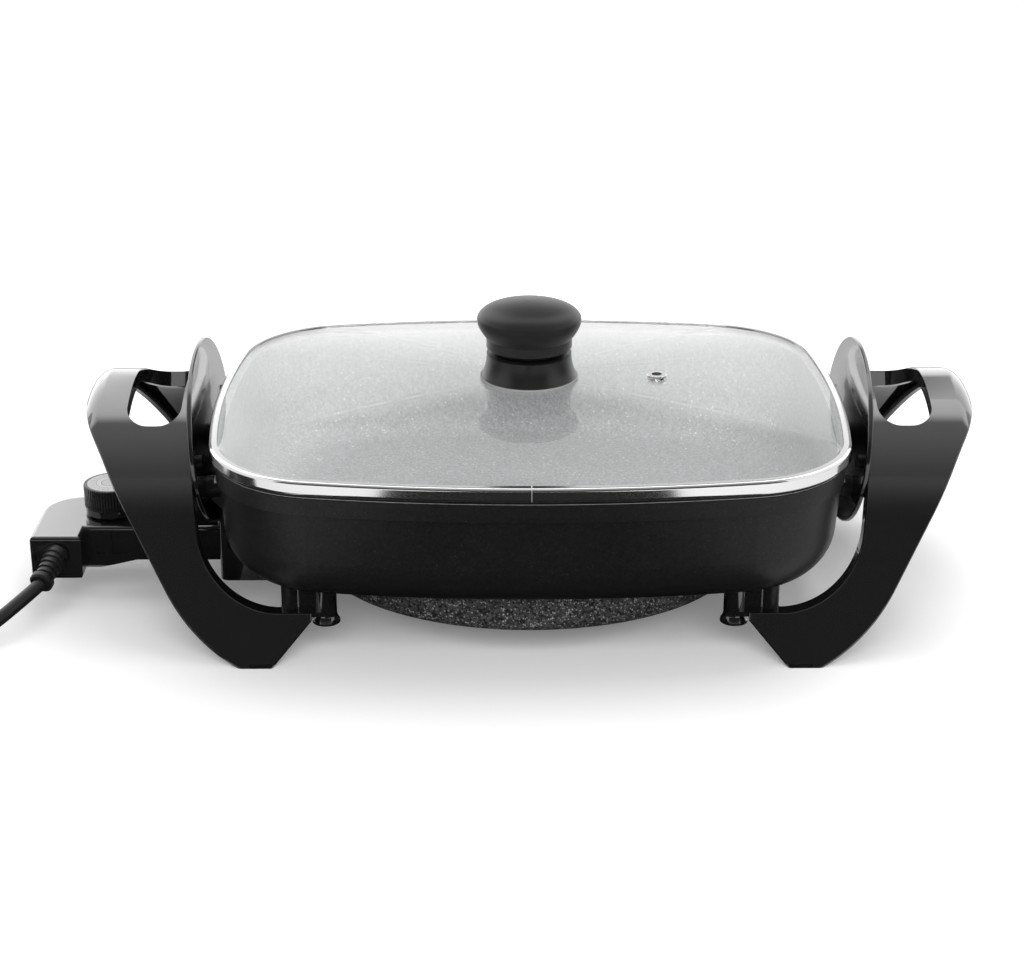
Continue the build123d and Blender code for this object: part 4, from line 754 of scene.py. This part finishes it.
pan_coating = bpy.data.materials.new("pan_coating")
tree, output = node_tree(pan_coating)
outside = speckle(tree, (0.007, 0.007, 0.0075), (0.022, 0.023, 0.024), 1100.0, 0.06, 0.3)
lining = speckle(tree, (0.475, 0.48, 0.485), (1.0, 1.0, 1.0), 820.0, 0.07, 0.16)
centred = tree.nodes.new("ShaderNodeMapping")
centred.inputs["Location"].default_value = (-PAN_X, 0, 0)
centred.inputs["Scale"].default_value = (1, 1, 0)
tree.links.new(place_on_piece(tree), centred.inputs["Vector"])
outward = vector_step(tree, "NORMALIZE", centred.outputs["Vector"])[0]
normal = tree.nodes.new("ShaderNodeNewGeometry").outputs["Normal"]
facing_out = vector_step(tree, "DOT_PRODUCT", outward, normal)[1]
inward = math_step(tree, "SUBTRACT", axes_of(tree, normal)["Z"], facing_out)
facing_in = math_step(tree, "GREATER_THAN", inward, 0.35)
beside = math_step(tree, "ABSOLUTE", axes_of(tree, centred.outputs["Vector"])["X"])
within = math_step(tree, "LESS_THAN", beside, LINING_HALF_WIDTH)
inside = math_step(tree, "MULTIPLY", facing_in, within)
skin = effect(tree, skin_group, {
    "Scale": 700.0, "Depth": 0.00003, "Roughness Low": 0.34, "Roughness High": 0.44,
})
shader = principled(tree, {
    "Base Color": blend(tree, inside, outside["Color"], lining["Color"]),
    "Roughness": skin["Roughness"], "Normal": skin["Normal"], "Specular IOR Level": 0.25,
})
tree.links.new(shader, output.inputs["Surface"])

heater_casting = bpy.data.materials.new("heater_casting")
tree, output = node_tree(heater_casting)
hammer = speckle(tree, (0.06, 0.06, 0.061), (0.62, 0.62, 0.63), 900.0, 0.32, 0.9)
shader = principled(tree, {
    "Base Color": hammer["Color"], "Normal": bump(tree, hammer["Fleck Mask"], 0.0004),
    "Roughness": 0.38, "Metallic": 0.35,
})
tree.links.new(shader, output.inputs["Surface"])
print("pan and heater ready")

# %% [markdown]
# ## Glass
# The lid is clear tempered glass. Light on its way to the lining passes as if through tinted air,
# because true refraction would leave the pan in a noisy half-dark. The camera sees real glass.

# %% Glass
glass = bpy.data.materials.new("lid_glass")
tree, output = node_tree(glass)
shader = principled(tree, {
    "Base Color": (0.985, 0.985, 0.985, 1), "Roughness": 0.0, "IOR": 1.5,
    "Transmission Weight": 1.0,
})
clear = tree.nodes.new("ShaderNodeBsdfTransparent")
clear.inputs["Color"].default_value = (0.94, 0.945, 0.945, 1)
seen = tree.nodes.new("ShaderNodeLightPath").outputs
choose = tree.nodes.new("ShaderNodeMixShader")
light_ray = math_step(tree, "MAXIMUM", seen["Is Shadow Ray"], seen["Is Diffuse Ray"])
tree.links.new(light_ray, choose.inputs["Fac"])
tree.links.new(shader, choose.inputs[1])
tree.links.new(clear.outputs[0], choose.inputs[2])
tree.links.new(choose.outputs[0], output.inputs["Surface"])
print("glass ready")

# %% [markdown]
# ## Hand the finishes out
# The frame says which finish each piece has. Every slot of a piece gets it.

# %% Hand the finishes out
FINISHES = {
    "pan_coating": pan_coating, "heater_casting": heater_casting,
    "handle_plastic": handle_plastic, "guard_plastic": guard_plastic,
    "knob_plastic": knob_plastic, "steel": steel, "rim_steel": rim_steel, "glass": glass,
    "white_silicone": white_silicone, "element_steel": element_steel, "ceramic": ceramic,
    "probe_black": probe_black, "black_steel": black_steel, "switch_plastic": switch_plastic,
    "dial_plastic": dial_plastic, "dial_silver": dial_silver, "cord_rubber": cord_rubber,
    "brass": brass,
}
slot_of = {part["node"]: part["material_slot"] for part in frame["record"]["subparts"]}
for name, node in nodes.items():
    finish = FINISHES[slot_of[name]]
    if not node.data.materials:
        node.data.materials.append(finish)
    for slot in node.material_slots:
        slot.material = finish
mains_cord.data.materials.append(cord_rubber)
turned_knob.data.materials.append(knob_plastic)
print("finished nodes:", len(nodes))
